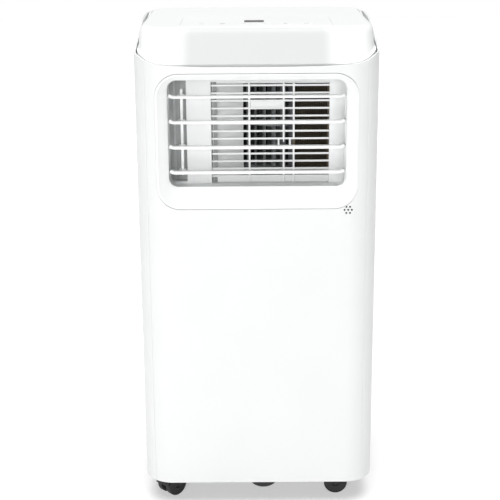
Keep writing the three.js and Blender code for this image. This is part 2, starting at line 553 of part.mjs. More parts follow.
function sumpDrainCap() {
  const { x, y, radius, bottom, plugRadius } = sumpCap;
  const profile = [[0, bottom + 1], [radius - 5, bottom], [radius - 1.5, bottom + 2], [radius, bottom + 5],
    [radius, pan.bottom - partGap], [plugRadius, pan.bottom - partGap], [plugRadius, pan.floor + 2], [0, pan.floor + 2]];
  const cap = solid(new THREE.LatheGeometry(profile.map(([r, z]) => new THREE.Vector2(r, z)), 24)
    .rotateX(Math.PI / 2).translate(x, y, 0));
  return cap.add(box(x - 11, x + 11, y - 2, y + 2, bottom - 2, bottom + 3));
}

// A caster about its swivel axis, its wheels trailing towards +X.
function casterHousing() {
  const { trail, webHalf, wheelRadius } = caster;
  const stem = bar('z', 4, 33, pan.top - 7, 0, 0, 16);
  const turntable = bar('z', 12, 33.6, 37, 0, 0, 20);
  const web = alongY([[-9, 36], [-9, 24], [trail - 9, wheelRadius], [trail - 6, wheelRadius - 7],
    [trail + 6, wheelRadius - 7], [trail + 9, wheelRadius], [trail + 9, 36]].map(([x, z]) => vec(x, z)),
  -webHalf, webHalf);
  const arc = (radius) => Array.from({ length: 13 }, (_, i) => {
    const angle = THREE.MathUtils.degToRad(18 + 144 * i / 12);
    return vec(trail + radius * Math.cos(angle), wheelRadius + radius * Math.sin(angle));
  });
  const hoodOuter = 20, hoodInner = 18;
  const hood = alongY([...arc(hoodOuter), ...arc(hoodInner).reverse()], -12.6, 12.6);
  const axleHole = bar('y', 3.2, -20, 20, trail, wheelRadius, 12);
  return join([stem, turntable, web, hood]).subtract(axleHole);
}

function casterWheels() {
  const { trail, webHalf, wheelRadius, wheelWidth } = caster;
  const sides = 24, circumradius = wheelRadius / Math.cos(Math.PI / sides), flatDown = Math.PI / sides;
  const wheels = [[webHalf + 0.5, webHalf + 0.5 + wheelWidth], [-webHalf - 0.5 - wheelWidth, -webHalf - 0.5]]
    .map(([a, b]) => bar('y', circumradius, a, b, trail, wheelRadius, sides, flatDown));
  const axle = bar('y', 2.5, -webHalf - 3, webHalf + 3, trail, wheelRadius, 12);
  return join([...wheels, axle]);
}

// ---------------------------------------------------------------- assembly
add('front_panel', frontPanel(), shellWhite);
add('left_side_panel', sidePanel(-1), shellWhite);
add('right_side_panel', sidePanel(1), shellWhite);
add('rear_panel', rearPanel(), shellWhite);
add('left_grip_cup', gripCup(-1), trimWhite);
add('right_grip_cup', gripCup(1), trimWhite);
add('top_cover', topCover(), shellWhite);
add('control_fascia', fasciaPlate(), trimWhite);
buttons.names.forEach((name, i) => add(`button_${name}`, buttonCap(i), trimWhite));
add('display_window', box(display.left, display.right, display.front, display.rear,
  bodyHeight - display.thickness, bodyHeight - 0.1), displayBlack);
add('display_board', displayBoard(), boardGreen);

add('vent_bezel', ventBezel(), trimWhite);
add('outlet_duct', outletDuct(), ductWhite);
add('guard_grille', guardGrille(), ductWhite);
for (let i = 0; i < louver.count; i++) {
  const blade = add(`louver_${i + 1}`, louverBlade(), trimWhite);
  blade.position.set(0, louver.pivotY, louver.lowest + i * louver.pitch);
  blade.rotation.x = louver.tilt;
}
add('louver_link', louverLink(), trimWhite).position.set(0,
  louver.pivotY + link.arm * Math.cos(louver.tilt), louver.lowest + link.arm * Math.sin(louver.tilt));
add('room_sensor', join([box(114.5, 123.5, front + wall + partGap, front + 9, 420.5, 431.5),
  bar('y', 2.5, front + 8, front + 16, 119.7, 428, 12)]), capGrey);

add('blower_case', blowerCase(), ductWhite);
add('blower_wheel', cageWheel({ ...blower, plateZ: [blower.bottom, blower.bottom + 16],
  rings: [[blower.top - 3, blower.top], [blower.ringZ, blower.ringZ + 6]] }), fanBlack);
add('fan_shaft', bar('z', shaft.radius, exhaustFan.top - 16, blower.bottom + 24, shaft.x, shaft.y, 16), shaftSteel);
add('exhaust_fan_wheel', cageWheel({ ...exhaustFan, plateZ: [exhaustFan.top - 16, exhaustFan.top],
  rings: [[exhaustFan.bottom, exhaustFan.bottom + 3]] }), fanBlack);
add('fan_motor', fanMotor(), compressorBlack);
add('exhaust_fan_case', exhaustCase(), ductWhite);
add('middle_deck', join([alongZ(planOutline(8), 340, 343.5), alongZ(planOutline(8), 343, 350,
  [planOutline(11).reverse()]), bar('z', 50, 343, 350, shaft.x, shaft.y, 28)])
  .subtract(bar('z', 12, 330, 360, shaft.x, shaft.y, 20))
  .subtract(bar('z', 8, 330, 360, deckHole.x, deckHole.y, 16))
  .subtract(box(-port.radius - 3, port.radius + 3, 112, rear, 330, 360)), trayGrey);

add('evaporator', coil(118, 98, 136, 366.4, 612, 8), finAluminium);
add('condenser', coil(112, 94, 136, pan.top - 1.6, 214, 6), finAluminium);
add('compressor', compressor(), compressorBlack);
compressorFeet.forEach((place, i) => add(`compressor_foot_${i + 1}`, compressorFoot(place), softRubber));
add('accumulator', solid(new THREE.LatheGeometry([[0, 0], [16, 2], [21, 10], [21, 142], [16, 152], [0, 154]]
  .map(([r, z]) => vec(r, z)), 20).rotateX(Math.PI / 2).translate(accumulatorPlace.x, accumulatorPlace.y,
  pan.floor + 0.4)), compressorBlack);
add('suction_pipe', pipe([[accumulatorPlace.x, accumulatorPlace.y, 196.8], [accumulatorPlace.x, accumulatorPlace.y, 222],
  [60, -112, 240], [126, -90, 248], [138, -10, 262],
  [deckHole.x, deckHole.y, 310], [deckHole.x, deckHole.y, 380], [134, 110, 410], [134, 117, 480]], 4, 34), tubeCopper);
add('discharge_pipe', pipe([[-72, -52, 242.5], [-72, -52, 246], [-90, -46, 248], [-138, 0, 230], [-140, 60, 200],
  [-128, 112, 170], [-126, 114, 120]], 4, 30), tubeCopper);
add('control_box', box(-132, -94, -50, 70, 350.4, 500), trayGrey);

add('upper_filter_frame', filterFrame(upperFilter), trimWhite);
add('upper_filter_cloth', filterCloth(upperFilter), filterMesh);
add('lower_filter_frame', filterFrame(lowerFilter), trimWhite);
add('lower_filter_cloth', filterCloth(lowerFilter), filterMesh);
add('exhaust_collar', exhaustCollar().add(exhaustGrille()), trimWhite);
add('middle_drain_plug', drainPlug(middleDrain), softRubber);
add('lower_drain_plug', drainPlug(lowerDrain), softRubber);
add('cord_gland', cordGland(cordInlet), casterBlack);

add('base_pan', basePan(), capGrey);
add('sump_drain_cap', sumpDrainCap(), capGrey);
casterCorners.forEach((corner) => {
  const swivel = new THREE.Group();
  swivel.position.set(corner.x * caster.x, corner.y * caster.y, 0);
  swivel.rotation.z = THREE.MathUtils.degToRad(corner.heading);
  root.add(swivel);
  add(`caster_${corner.tag}`, casterHousing(), casterBlack, swivel);
  add(`wheels_${corner.tag}`, casterWheels(), casterBlack, swivel);
});

export default root;
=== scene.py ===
"""A portable air conditioner: a white moulded cabinet on black twin-wheel casters, with a louvred outlet
high on the front, push buttons on a wedge-shaped cover, and its blower, filters and hose port.

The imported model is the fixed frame. Lengths in the geometry below are millimetres unless they say metres.
"""

import json
import math

import bmesh
import bpy
from bpy.props import FloatProperty, FloatVectorProperty, IntProperty, PointerProperty
from mathutils import Matrix, Vector
from mathutils.geometry import tessellate_polygon


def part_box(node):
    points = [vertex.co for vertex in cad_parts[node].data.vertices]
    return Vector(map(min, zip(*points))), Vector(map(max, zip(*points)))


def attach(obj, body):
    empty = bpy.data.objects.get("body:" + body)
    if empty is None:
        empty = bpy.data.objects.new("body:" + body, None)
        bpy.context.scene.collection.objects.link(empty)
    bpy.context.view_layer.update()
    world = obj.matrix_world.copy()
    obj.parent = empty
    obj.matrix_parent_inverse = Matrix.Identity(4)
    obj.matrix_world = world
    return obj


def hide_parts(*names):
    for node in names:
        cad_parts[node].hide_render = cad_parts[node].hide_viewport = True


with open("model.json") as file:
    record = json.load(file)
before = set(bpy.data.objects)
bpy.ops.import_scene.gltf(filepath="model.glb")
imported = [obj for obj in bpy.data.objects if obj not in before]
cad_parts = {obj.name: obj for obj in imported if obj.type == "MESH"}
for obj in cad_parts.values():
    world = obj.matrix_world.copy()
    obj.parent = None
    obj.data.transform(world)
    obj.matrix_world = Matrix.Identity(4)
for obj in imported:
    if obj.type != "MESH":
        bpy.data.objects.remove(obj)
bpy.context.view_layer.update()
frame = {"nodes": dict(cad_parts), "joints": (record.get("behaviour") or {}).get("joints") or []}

bl_info = {
    "name": "Portable air conditioner",
    "version": (1, 0, 0),
    "blender": (4, 5, 0),
    "location": "View3D > Sidebar > Air conditioner",
    "description": "Builds the shells, outlet, blower, controls, casters and studio around the frame",
    "category": "Object",
}

MM = 0.001


def corner(node, which):
    """One corner of a frame node's box, in millimetres: 0 is the lowest, 1 the highest."""
    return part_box(node)[which] / MM


def linear(code, alpha=1.0):
    """An sRGB hex colour as linear red, green, blue and alpha."""
    values = [int(code[i : i + 2], 16) / 255 for i in (0, 2, 4)]
    return tuple(v / 12.92 if v <= 0.04045 else ((v + 0.055) / 1.055) ** 2.4 for v in values) + (alpha,)


# The cabinet in plan, from the frame
HALF_WIDTH = corner("right_side_panel", 1).x
FRONT = corner("front_panel", 0).y
REAR = corner("rear_panel", 1).y
BOTTOM = corner("front_panel", 0).z
TOP = corner("top_cover", 1).z
ROUND = 40.0  # radius of the upright corners
WALL = 2.6
FLAT = HALF_WIDTH - ROUND
ARC = ROUND * math.pi / 2
SIDE = REAR - FRONT - 2 * ROUND
HALF_GIRTH = 2 * FLAT + 2 * ARC + SIDE
PANEL_END = 147.0  # the front panel ends this far round from the middle of the front
REAR_END = 121.6  # the rear panel, this far round from the middle of the rear
BEZEL_LOW, BEZEL_HIGH = corner("vent_bezel", 0), corner("vent_bezel", 1)
PIVOT_Y, PIVOT_Z, PIVOT_PITCH, LOUVRES = -124.0, 475.0, 33.6, 4
TILT = math.radians(-5)
SHAFT = Vector((28.0, 0.0))
OPENING = {"half_width": 116.2, "bottom": 458.0, "top": 599.0, "radius": 12.0}
WINDOW = {"left": -61.0, "right": 97.0, "bottom": 452.5, "top": 590.0}
GUARD_TOP, GUARD_PITCH, GUARD_BARS = 584.4, 10.28, 13

# Height of the joint between shells and cover, by distance round from the middle of the front
SEAM = [
    (0, 617.4), (60, 617.7), (100, 618.9), (123, 620.8), (136.5, 623.4), (148.3, 626.9), (157.1, 630.3),
    (170, 633.2), (187.8, 636.6), (205, 639.8), (222.8, 642.8), (245.8, 646.4), (282.8, 652.9),
    (308.8, 657.6), (328, 659.6), (350, 660.0), (600, 660.0),
]  # fmt: skip


# Share of the seam's full width, by the same distance: a hairline in front, wide open at the shoulders
SEAM_SHARE = [(0, 0.35), (90, 0.4), (125, 0.7), (150, 1.3), (190, 1.5), (225, 0.8), (245, 0.25), (600, 0.2)]


def along(knots, x):
    """A smooth curve through the knots, which keeps to the slope of its neighbours."""
    x = min(max(x, knots[0][0]), knots[-1][0])
    i = max(k for k in range(len(knots) - 1) if knots[k][0] <= x)
    (x0, y0), (x1, y1) = knots[i], knots[i + 1]

    def slope(k):
        a, b = knots[max(k - 1, 0)], knots[min(k + 1, len(knots) - 1)]
        return (b[1] - a[1]) / (b[0] - a[0])

    width = x1 - x0
    t = (x - x0) / width
    m0, m1 = slope(i) * width, slope(i + 1) * width
    return (
        (2 * t**3 - 3 * t**2 + 1) * y0
        + (t**3 - 2 * t**2 + t) * m0
        + (3 * t**2 - 2 * t**3) * y1
        + (t**3 - t**2) * m1
    )


def plan(girth, depth=0.0):
    """The point this far round the cabinet from the middle of the front, and so deep inside its skin."""
    side = 1 if girth >= 0 else -1
    s = abs(girth)
    if s <= FLAT:
        x, y, nx, ny = s, FRONT, 0.0, -1.0
    elif s <= FLAT + ARC:
        a = (s - FLAT) / ROUND
        nx, ny = math.sin(a), -math.cos(a)
        x, y = FLAT + ROUND * nx, FRONT + ROUND + ROUND * ny
    elif s <= FLAT + ARC + SIDE:
        x, y, nx, ny = HALF_WIDTH, FRONT + ROUND + s - FLAT - ARC, 1.0, 0.0
    elif s <= FLAT + 2 * ARC + SIDE:
        a = (s - FLAT - ARC - SIDE) / ROUND
        nx, ny = math.cos(a), math.sin(a)
        x, y = FLAT + ROUND * nx, REAR - ROUND + ROUND * ny
    else:
        x, y, nx, ny = HALF_GIRTH - s, REAR, 0.0, 1.0
    return Vector((side * (x - nx * depth), y - ny * depth))


# ------------------------------------------------------------------ settings


class CabinetSettings(bpy.types.PropertyGroup):
    """Shells and cover."""

    # the shells share the cover's white plastic; their colour is set darker, and that difference is painted
    # shade
    shaded_shell_colour: FloatVectorProperty(
        name="Shell colour", description="Colour of the moulded shells", subtype="COLOR", size=4,
        min=0, max=1, default=linear("E6E7E7"),
    )  # fmt: skip
    # the slope colour is painted shade, laid over the middle of the cover's front slope
    slope_painted_shade: FloatVectorProperty(
        name="Slope colour", description="Colour of the middle of the cover's front slope",
        subtype="COLOR", size=4, min=0, max=1, default=linear("C9CACA"),
    )  # fmt: skip
    edge_radius: FloatProperty(
        name="Edge radius", description="Rounding of the edges of the shells",
        subtype="DISTANCE", unit="LENGTH", min=0.0002, max=0.0012, default=0.0007,
    )  # fmt: skip
    seam_gap: FloatProperty(
        name="Seam gap", description="Open joint between shells and cover",
        subtype="DISTANCE", unit="LENGTH", min=0.0005, max=0.003, default=0.0016,
    )  # fmt: skip


class OutletSettings(bpy.types.PropertyGroup):
    """Bezel, louvres, duct, grille and blower."""

    trim_colour: FloatVectorProperty(
        name="Trim colour", description="Colour of the bezel and louvres", subtype="COLOR", size=4,
        min=0, max=1, default=linear("F7F8F8"),
    )  # fmt: skip
    duct_colour: FloatVectorProperty(
        name="Duct colour", description="Colour of the air duct", subtype="COLOR", size=4,
        min=0, max=1, default=linear("F7F8F8"),
    )  # fmt: skip
    # the pocket's colour is the light end of a ramp whose darker end, towards the grille, is painted shade
    pocket_colour: FloatVectorProperty(
        name="Pocket colour", description="Colour of the dark pocket beside the grille",
        subtype="COLOR", size=4, min=0, max=1, default=linear("E4E6E6"),
    )  # fmt: skip
    louvre_thickness: FloatProperty(
        name="Louvre thickness", description="Thickness of a louvre's nose",
        subtype="DISTANCE", unit="LENGTH", min=0.002, max=0.005, default=0.0043,
    )  # fmt: skip
    grille_bar: FloatProperty(
        name="Grille bar", description="Height of a bar of the guard grille",
        subtype="DISTANCE", unit="LENGTH", min=0.0015, max=0.003, default=0.0021,
    )  # fmt: skip
    blower_blades: IntProperty(
        name="Blower blades", description="Number of blades round the blower wheel", min=16, max=60,
        default=30,
    )  # fmt: skip


class ControlSettings(bpy.types.PropertyGroup):
    """Fascia, buttons and display."""

    print_colour: FloatVectorProperty(
        name="Print colour", description="Colour of the printed symbols", subtype="COLOR", size=4,
        min=0, max=1, default=linear("5E6164"),
    )  # fmt: skip
    display_colour: FloatVectorProperty(
        name="Display colour", description="Colour of the smoked display window", subtype="COLOR",
        size=4, min=0, max=1, default=linear("16181B"),
    )  # fmt: skip


class RunningGearSettings(bpy.types.PropertyGroup):
    """Casters and base."""

    caster_colour: FloatVectorProperty(
        name="Caster colour", description="Colour of hoods and wheels", subtype="COLOR", size=4,
        min=0, max=1, default=linear("0E0E10"),
    )  # fmt: skip
    tread_depth: FloatProperty(
        name="Tread depth", description="Rounding of the wheels' treads",
        subtype="DISTANCE", unit="LENGTH", min=0.0004, max=0.002, default=0.0012,
    )  # fmt: skip


class StageSettings(bpy.types.PropertyGroup):
    """Floor, light and camera."""

    key_power: FloatProperty(
        name="Key light", description="Power of the soft light in front", subtype="POWER",
        unit="POWER", min=0, max=500, default=40.0,
    )  # fmt: skip
    overhead: FloatProperty(
        name="Overhead light", description="Strength of the wide soft light overhead", min=0, max=10,
        default=3.4,
    )  # fmt: skip
    surround: FloatProperty(
        name="Surround", description="Brightness of the white studio all round", min=0, max=3,
        default=0.13,
    )  # fmt: skip


# ------------------------------------------------------------------ node helper and materials


def add_node(tree, kind, settings=None, inputs=None, stops=None):
    """Adds a node with its settings; an input is a constant, or the socket that feeds it."""
    made = tree.nodes.new(kind)
    for name, value in (settings or {}).items():
        setattr(made, name, value)
    for name, value in (inputs or {}).items():
        if isinstance(value, bpy.types.NodeSocket):
            tree.links.new(value, made.inputs[name])
        else:
            made.inputs[name].default_value = value
    for i, (position, colour) in enumerate(stops or []):
        elements = made.color_ramp.elements
        element = elements[i] if i < 2 else elements.new(position)
        element.position, element.color = position, colour
    return made


def shade(colour, factor):
    """The same colour, lighter or darker."""
    return tuple(min(c * factor, 1.0) for c in colour[:3]) + (1.0,)


def new_material(name):
    """An empty material, its tree, and the place in the object that its patterns read."""
    made = bpy.data.materials.new(name)
    made.use_nodes = True
    made.node_tree.nodes.clear()
    place = add_node(made.node_tree, "ShaderNodeTexCoord").outputs["Object"]
    return made, made.node_tree, place


def surface(tree, **inputs):
    """Closes a material with one Principled shader, whose constants are set on its own sockets."""
    named = {key.replace("_", " "): value for key, value in inputs.items()}
    shader = add_node(tree, "ShaderNodeBsdfPrincipled", inputs=named)
    add_node(tree, "ShaderNodeOutputMaterial", inputs={"Surface": shader.outputs["BSDF"]})


def moulded(name, colour, roughness, grain_mm=0.5, relief=0.25, drift=0.015, ior=1.54):
    """Injection-moulded plastic: an etched grain, and a very slow drift in colour and gloss."""
    made, tree, place = new_material(name)
    grain = add_node(
        tree, "ShaderNodeTexNoise", inputs={"Vector": place, "Scale": 1000 / grain_mm, "Detail": 2.0}
    )
    bump = add_node(
        tree,
        "ShaderNodeBump",
        inputs={"Height": grain.outputs["Fac"], "Strength": relief, "Distance": 0.06 * grain_mm * MM},
    )
    slow = add_node(tree, "ShaderNodeTexNoise", inputs={"Vector": place, "Scale": 11.0, "Detail": 1.0})
    tone = add_node(
        tree,
        "ShaderNodeValToRGB",
        inputs={"Fac": slow.outputs["Fac"]},
        stops=[(0.3, shade(colour, 1 - drift)), (0.7, colour)],
    )
    gloss = add_node(
        tree,
        "ShaderNodeMapRange",
        inputs={"Value": slow.outputs["Fac"], "To Min": roughness - 0.03, "To Max": roughness + 0.03},
    )
    surface(
        tree,
        Base_Color=tone.outputs["Color"],
        Roughness=gloss.outputs["Result"],
        IOR=ior,
        Normal=bump.outputs["Normal"],
    )
    return made


def cover_plastic(colour, slope):
    """ABS, moulded satin: white, with painted shade: a light grey tone over the middle of the cover's front
    slope, which fades out towards both shoulders."""
    made, tree, place = new_material("ABS satin, cover")
    axes = add_node(tree, "ShaderNodeSeparateXYZ", inputs={"Vector": place})
    width = add_node(tree, "ShaderNodeMath", {"operation": "ABSOLUTE"}, {0: axes.outputs["X"]})
    middle = add_node(
        tree,
        "ShaderNodeMapRange",
        {"interpolation_type": "SMOOTHSTEP"},
        {"Value": width.outputs[0], "From Min": 0.083, "From Max": 0.116, "To Min": 1.0, "To Max": 0.0},
    )
    low = add_node(
        tree,
        "ShaderNodeMapRange",
        {"interpolation_type": "SMOOTHSTEP"},
        {"Value": axes.outputs["Z"], "From Min": 0.6624, "From Max": 0.6632, "To Min": 1.0, "To Max": 0.0},
    )
    ahead = add_node(tree, "ShaderNodeMath", {"operation": "LESS_THAN"}, {0: axes.outputs["Y"], 1: -0.1})
    band = add_node(
        tree, "ShaderNodeMath", {"operation": "MULTIPLY"}, {0: middle.outputs[0], 1: low.outputs[0]}
    )
    part = add_node(
        tree, "ShaderNodeMath", {"operation": "MULTIPLY"}, {0: band.outputs[0], 1: ahead.outputs[0]}
    )
    # painted shade: the grey over the middle of the front slope, masked by width, height and depth
    tone = add_node(
        tree, "ShaderNodeValToRGB", inputs={"Fac": part.outputs[0]}, stops=[(0, colour), (1, slope)]
    )
    grain = add_node(tree, "ShaderNodeTexNoise", inputs={"Vector": place, "Scale": 2000.0, "Detail": 2.0})
    bump = add_node(
        tree,
        "ShaderNodeBump",
        inputs={"Height": grain.outputs["Fac"], "Strength": 0.25, "Distance": 0.00003},
    )
    surface(
        tree, Base_Color=tone.outputs["Color"], Roughness=0.36, IOR=1.54, Normal=bump.outputs["Normal"]
    )
    return made


def pocket_shaded_plastic(light, dark):
    """Polystyrene, moulded: the outlet's side pocket in grey bands that darken towards the grille; the
    darkening is painted shade in the deep recess.
    """
    made, tree, place = new_material("Polystyrene matt, pocket")
    axes = add_node(tree, "ShaderNodeSeparateXYZ", inputs={"Vector": place})
    across = add_node(
        tree,
        "ShaderNodeMapRange",
        inputs={"Value": axes.outputs["X"], "From Min": -0.117, "From Max": -0.094},
    )
    # painted shade: darker towards the grille
    tone = add_node(
        tree,
        "ShaderNodeValToRGB",
        inputs={"Fac": across.outputs[0]},
        stops=[(0.0, light), (1.0, dark), (0.3, shade(light, 1.08)), (0.36, shade(dark, 1.1))],
    )
    grain = add_node(tree, "ShaderNodeTexNoise", inputs={"Vector": place, "Scale": 1500.0})
    bump = add_node(
        tree,
        "ShaderNodeBump",
        inputs={"Height": grain.outputs["Fac"], "Strength": 0.3, "Distance": 0.00004},
    )
    surface(
        tree, Base_Color=tone.outputs["Color"], Roughness=0.6, IOR=1.59, Normal=bump.outputs["Normal"]
    )
    return made


def acrylic(colour):
    """PMMA, polished and smoked: a dark clear-coated window with a faint vertical cell pattern."""
    made, tree, place = new_material("Acrylic smoked, display")
    cells = add_node(
        tree,
        "ShaderNodeTexWave",
        {"bands_direction": "X"},
        {"Vector": place, "Scale": 160.0, "Distortion": 0.0},
    )
    tone = add_node(
        tree,
        "ShaderNodeValToRGB",
        inputs={"Fac": cells.outputs["Fac"]},
        stops=[(0.4, colour), (0.9, shade(colour, 1.25))],
    )
    surface(tree, Base_Color=tone.outputs["Color"], Roughness=0.08, IOR=1.49, Coat_Weight=0.4)
    return made


def metal(name, colour, roughness, streak=(1.0, 1.0, 40.0), relief=0.15):
    """Bare metal: fine lines left by drawing, grinding or rolling, along one direction."""
    made, tree, place = new_material(name)
    stretched = add_node(tree, "ShaderNodeMapping", inputs={"Vector": place, "Scale": streak})
    lines = add_node(
        tree,
        "ShaderNodeTexNoise",
        inputs={"Vector": stretched.outputs[0], "Scale": 30.0, "Detail": 4.0},
    )
    gloss = add_node(
        tree,
        "ShaderNodeMapRange",
        inputs={"Value": lines.outputs["Fac"], "To Min": roughness - 0.08, "To Max": roughness + 0.1},
    )
    tone = add_node(
        tree,
        "ShaderNodeValToRGB",
        inputs={"Fac": lines.outputs["Fac"]},
        stops=[(0.3, shade(colour, 0.88)), (0.7, colour)],
    )
    bump = add_node(
        tree,
        "ShaderNodeBump",
        inputs={"Height": lines.outputs["Fac"], "Strength": relief, "Distance": 0.00004},
    )
    surface(
        tree,
        Base_Color=tone.outputs["Color"],
        Metallic=1.0,
        Roughness=gloss.outputs["Result"],
        Normal=bump.outputs["Normal"],
    )
    return made


def enamel(name, colour, roughness=0.32):
    """Stove enamel on steel: a soft orange-peel skin under a clear gloss."""
    made, tree, place = new_material(name)
    peel = add_node(tree, "ShaderNodeTexNoise", inputs={"Vector": place, "Scale": 380.0, "Detail": 1.0})
    bump = add_node(
        tree,
        "ShaderNodeBump",
        inputs={"Height": peel.outputs["Fac"], "Strength": 0.2, "Distance": 0.00012},
    )
    tone = add_node(
        tree,
        "ShaderNodeValToRGB",
        inputs={"Fac": peel.outputs["Fac"]},
        stops=[(0.3, shade(colour, 0.9)), (0.7, colour)],
    )
    surface(
        tree,
        Base_Color=tone.outputs["Color"],
        Roughness=roughness,
        IOR=1.5,
        Coat_Weight=0.3,
        Normal=bump.outputs["Normal"],
    )
    return made


def woven_filter(colour):
    """Nylon filter net: plain weave, drawn at 1.2 mm thread spacing so that it shows."""
    made, tree, place = new_material("Nylon woven, filter")
    turns = {"X": {"bands_direction": "X"}, "Z": {"bands_direction": "Z"}}
    waves = [
        add_node(
            tree,
            "ShaderNodeTexWave",
            setting,
            {"Vector": place, "Scale": 0.314 / 0.0012, "Distortion": 0.0},
        )
        for setting in turns.values()
    ]
    weave = add_node(
        tree,
        "ShaderNodeMath",
        {"operation": "MAXIMUM"},
        {0: waves[0].outputs["Fac"], 1: waves[1].outputs["Fac"]},
    )
    tone = add_node(
        tree,
        "ShaderNodeValToRGB",
        inputs={"Fac": weave.outputs[0]},
        stops=[(0.35, shade(colour, 0.25)), (0.75, colour)],
    )
    bump = add_node(
        tree,
        "ShaderNodeBump",
        inputs={"Height": weave.outputs[0], "Strength": 0.6, "Distance": 0.0003},
    )
    surface(tree, Base_Color=tone.outputs["Color"], Roughness=0.7, Normal=bump.outputs["Normal"])
    return made


def soldered_board(colour):
    """Glass-epoxy board, lacquered: green, with paler copper runs under the lacquer."""
    made, tree, place = new_material("Glass epoxy, board")
    runs = add_node(tree, "ShaderNodeTexBrick", inputs={"Vector": place, "Scale": 90.0, "Mortar Size": 0.04})
    tone = add_node(
        tree,
        "ShaderNodeValToRGB",
        inputs={"Fac": runs.outputs["Fac"]},
        stops=[(0.0, colour), (1.0, shade(colour, 1.7))],
    )
    surface(tree, Base_Color=tone.outputs["Color"], Roughness=0.35, IOR=1.5)
    return made


def studio_floor():
    """Opal acrylic light table: white, softly lit from below, very slightly mottled."""
    made, tree, place = new_material("Acrylic opal, studio floor")
    fibre = add_node(tree, "ShaderNodeTexNoise", inputs={"Vector": place, "Scale": 60.0, "Detail": 3.0})
    tone = add_node(
        tree,
        "ShaderNodeValToRGB",
        inputs={"Fac": fibre.outputs["Fac"]},
        stops=[(0.3, linear("C6C6C6")), (0.7, linear("C9C9C9"))],
    )
    surface(
        tree,
        Base_Color=tone.outputs["Color"],
        Roughness=0.9,
        Emission_Color=(1.0, 1.0, 1.0, 1.0),
        Emission_Strength=0.46,
    )
    return made


# ------------------------------------------------------------------ meshes


class Shape:
    """Points in millimetres and faces, gathered before they become one mesh."""

    def __init__(self):
        self.points = []
        self.faces = []

    def loft(self, rings, caps=(True, True), closed=False):
        """Joins rings of equally many points by quads, and closes the first and last if asked."""
        base, n, count = len(self.points), len(rings[0]), len(rings)
        for ring in rings:
            self.points += [tuple(point) for point in ring]
        for i in range(count if closed else count - 1):
            a, b = base + i * n, base + (i + 1) % count * n
            self.faces += [(a + j, a + (j + 1) % n, b + (j + 1) % n, b + j) for j in range(n)]
        if not closed and caps[0]:
            self.faces.append(tuple(reversed(range(base, base + n))))
        if not closed and caps[1]:
            self.faces.append(tuple(range(base + (count - 1) * n, base + count * n)))
        return self

    def fill(self, loops):
        """Fills the space between closed loops of points: the first is the outside, the rest holes."""
        base = len(self.points)
        for loop in loops:
            self.points += [tuple(point) for point in loop]
        triangles = tessellate_polygon([[Vector(p) for p in loop] for loop in loops])
        self.faces += [tuple(base + i for i in triangle) for triangle in triangles]
        return self

    def moved(self, change):
        """Sends every point through a change of place."""
        self.points = [tuple(change(Vector(point))) for point in self.points]
        return self

    def include(self, other):
        """Takes in another shape's points and faces."""
        base = len(self.points)
        self.points += other.points
        self.faces += [tuple(base + i for i in face) for face in other.faces]
        return self

    def mesh(self, cuts=(), change=None):
        """One welded mesh with its faces outwards; it is cut at these X before a change of place."""
        bm = bmesh.new()
        verts = [bm.verts.new(point) for point in self.points]
        for face in self.faces:
            if len(set(face)) > 2:
                bm.faces.new([verts[i] for i in face])
        bmesh.ops.remove_doubles(bm, verts=bm.verts, dist=0.002)
        bmesh.ops.dissolve_degenerate(bm, edges=bm.edges, dist=0.001)
        for x in cuts:
            geometry = bm.verts[:] + bm.edges[:] + bm.faces[:]
            bmesh.ops.bisect_plane(bm, geom=geometry, dist=0.001, plane_co=(x, 0, 0), plane_no=(1, 0, 0))
        for vert in bm.verts:
            vert.co = (change(vert.co) if change else vert.co) * MM
        bmesh.ops.recalc_face_normals(bm, faces=bm.faces)
        made = bpy.data.meshes.new("piece")
        bm.to_mesh(made)
        bm.free()
        return made


def rounded(x0, x1, y0, y1, radius, steps=10):
    """A rectangle with round corners, anticlockwise."""
    centres = [(x1 - radius, y1 - radius), (x0 + radius, y1 - radius), (x0 + radius, y0 + radius),
               (x1 - radius, y0 + radius)]  # fmt: skip
    return [
        Vector((cx + radius * math.cos(a), cy + radius * math.sin(a)))
        for k, (cx, cy) in enumerate(centres)
        for a in [(k + i / steps) * math.pi / 2 for i in range(steps + 1)]
    ]


def around(low, high, grow, radius, steps=10, up="y"):
    """A round-cornered outline that stands off a box, seen from above or, with z up, from in front."""
    bottom, top = getattr(low, up), getattr(high, up)
    return rounded(low.x - grow, high.x + grow, bottom - grow, top + grow, radius, steps)


def disc(x, y, radius, steps=48):
    """A circle of points, anticlockwise."""
    turns = [i / steps * 2 * math.pi for i in range(steps)]
    return [Vector((x + radius * math.cos(a), y + radius * math.sin(a))) for a in turns]


def inset(loop, amount):
    """The loop moved to its left by an amount, which is inwards when it runs anticlockwise."""
    moved = []
    for i, point in enumerate(loop):
        before, after = (point - loop[i - 1]).normalized(), (loop[(i + 1) % len(loop)] - point).normalized()
        left = Vector((-before.y - after.y, before.x + after.x))
        length = left.length
        if length < 1e-6:
            moved.append(point.copy())
            continue
        left /= length
        moved.append(point + left * amount / max(left.dot(Vector((-before.y, before.x))), 0.3))
    return moved


def slab(outline, holes=(), depth=WALL, edge=0.7, back_edge=0.3, steps=4):
    """A plate of this outline in X and Z, from its face at Y 0 back to its depth, with round edges."""
    turns = [k / steps * math.pi / 2 for k in range(steps + 1)]
    profile = [(edge * (1 - math.sin(a)), edge * (1 - math.cos(a))) for a in turns]
    profile += [(back_edge * (1 - math.cos(a)), depth - back_edge * (1 - math.sin(a))) for a in turns]
    shape = Shape()
    loops = [outline] + [list(reversed(hole)) for hole in holes]
    for loop in loops:
        rings = [[(p.x, y, p.y) for p in inset(loop, offset)] for offset, y in profile]
        shape.loft(rings, caps=(False, False))
    for offset, y in (profile[0], profile[-1]):
        shape.fill([[(p.x, y, p.y) for p in inset(loop, offset)] for loop in loops])
    return shape


def turned(profile, x, y, steps=48):
    """A solid of revolution about the upright through (x, y): the profile is (radius, z) pairs."""
    rings = [
        [(x + r * math.cos(i / steps * 2 * math.pi), y + r * math.sin(i / steps * 2 * math.pi), z)
         for i in range(steps)] for r, z in profile
    ]  # fmt: skip
    return Shape().loft(rings)


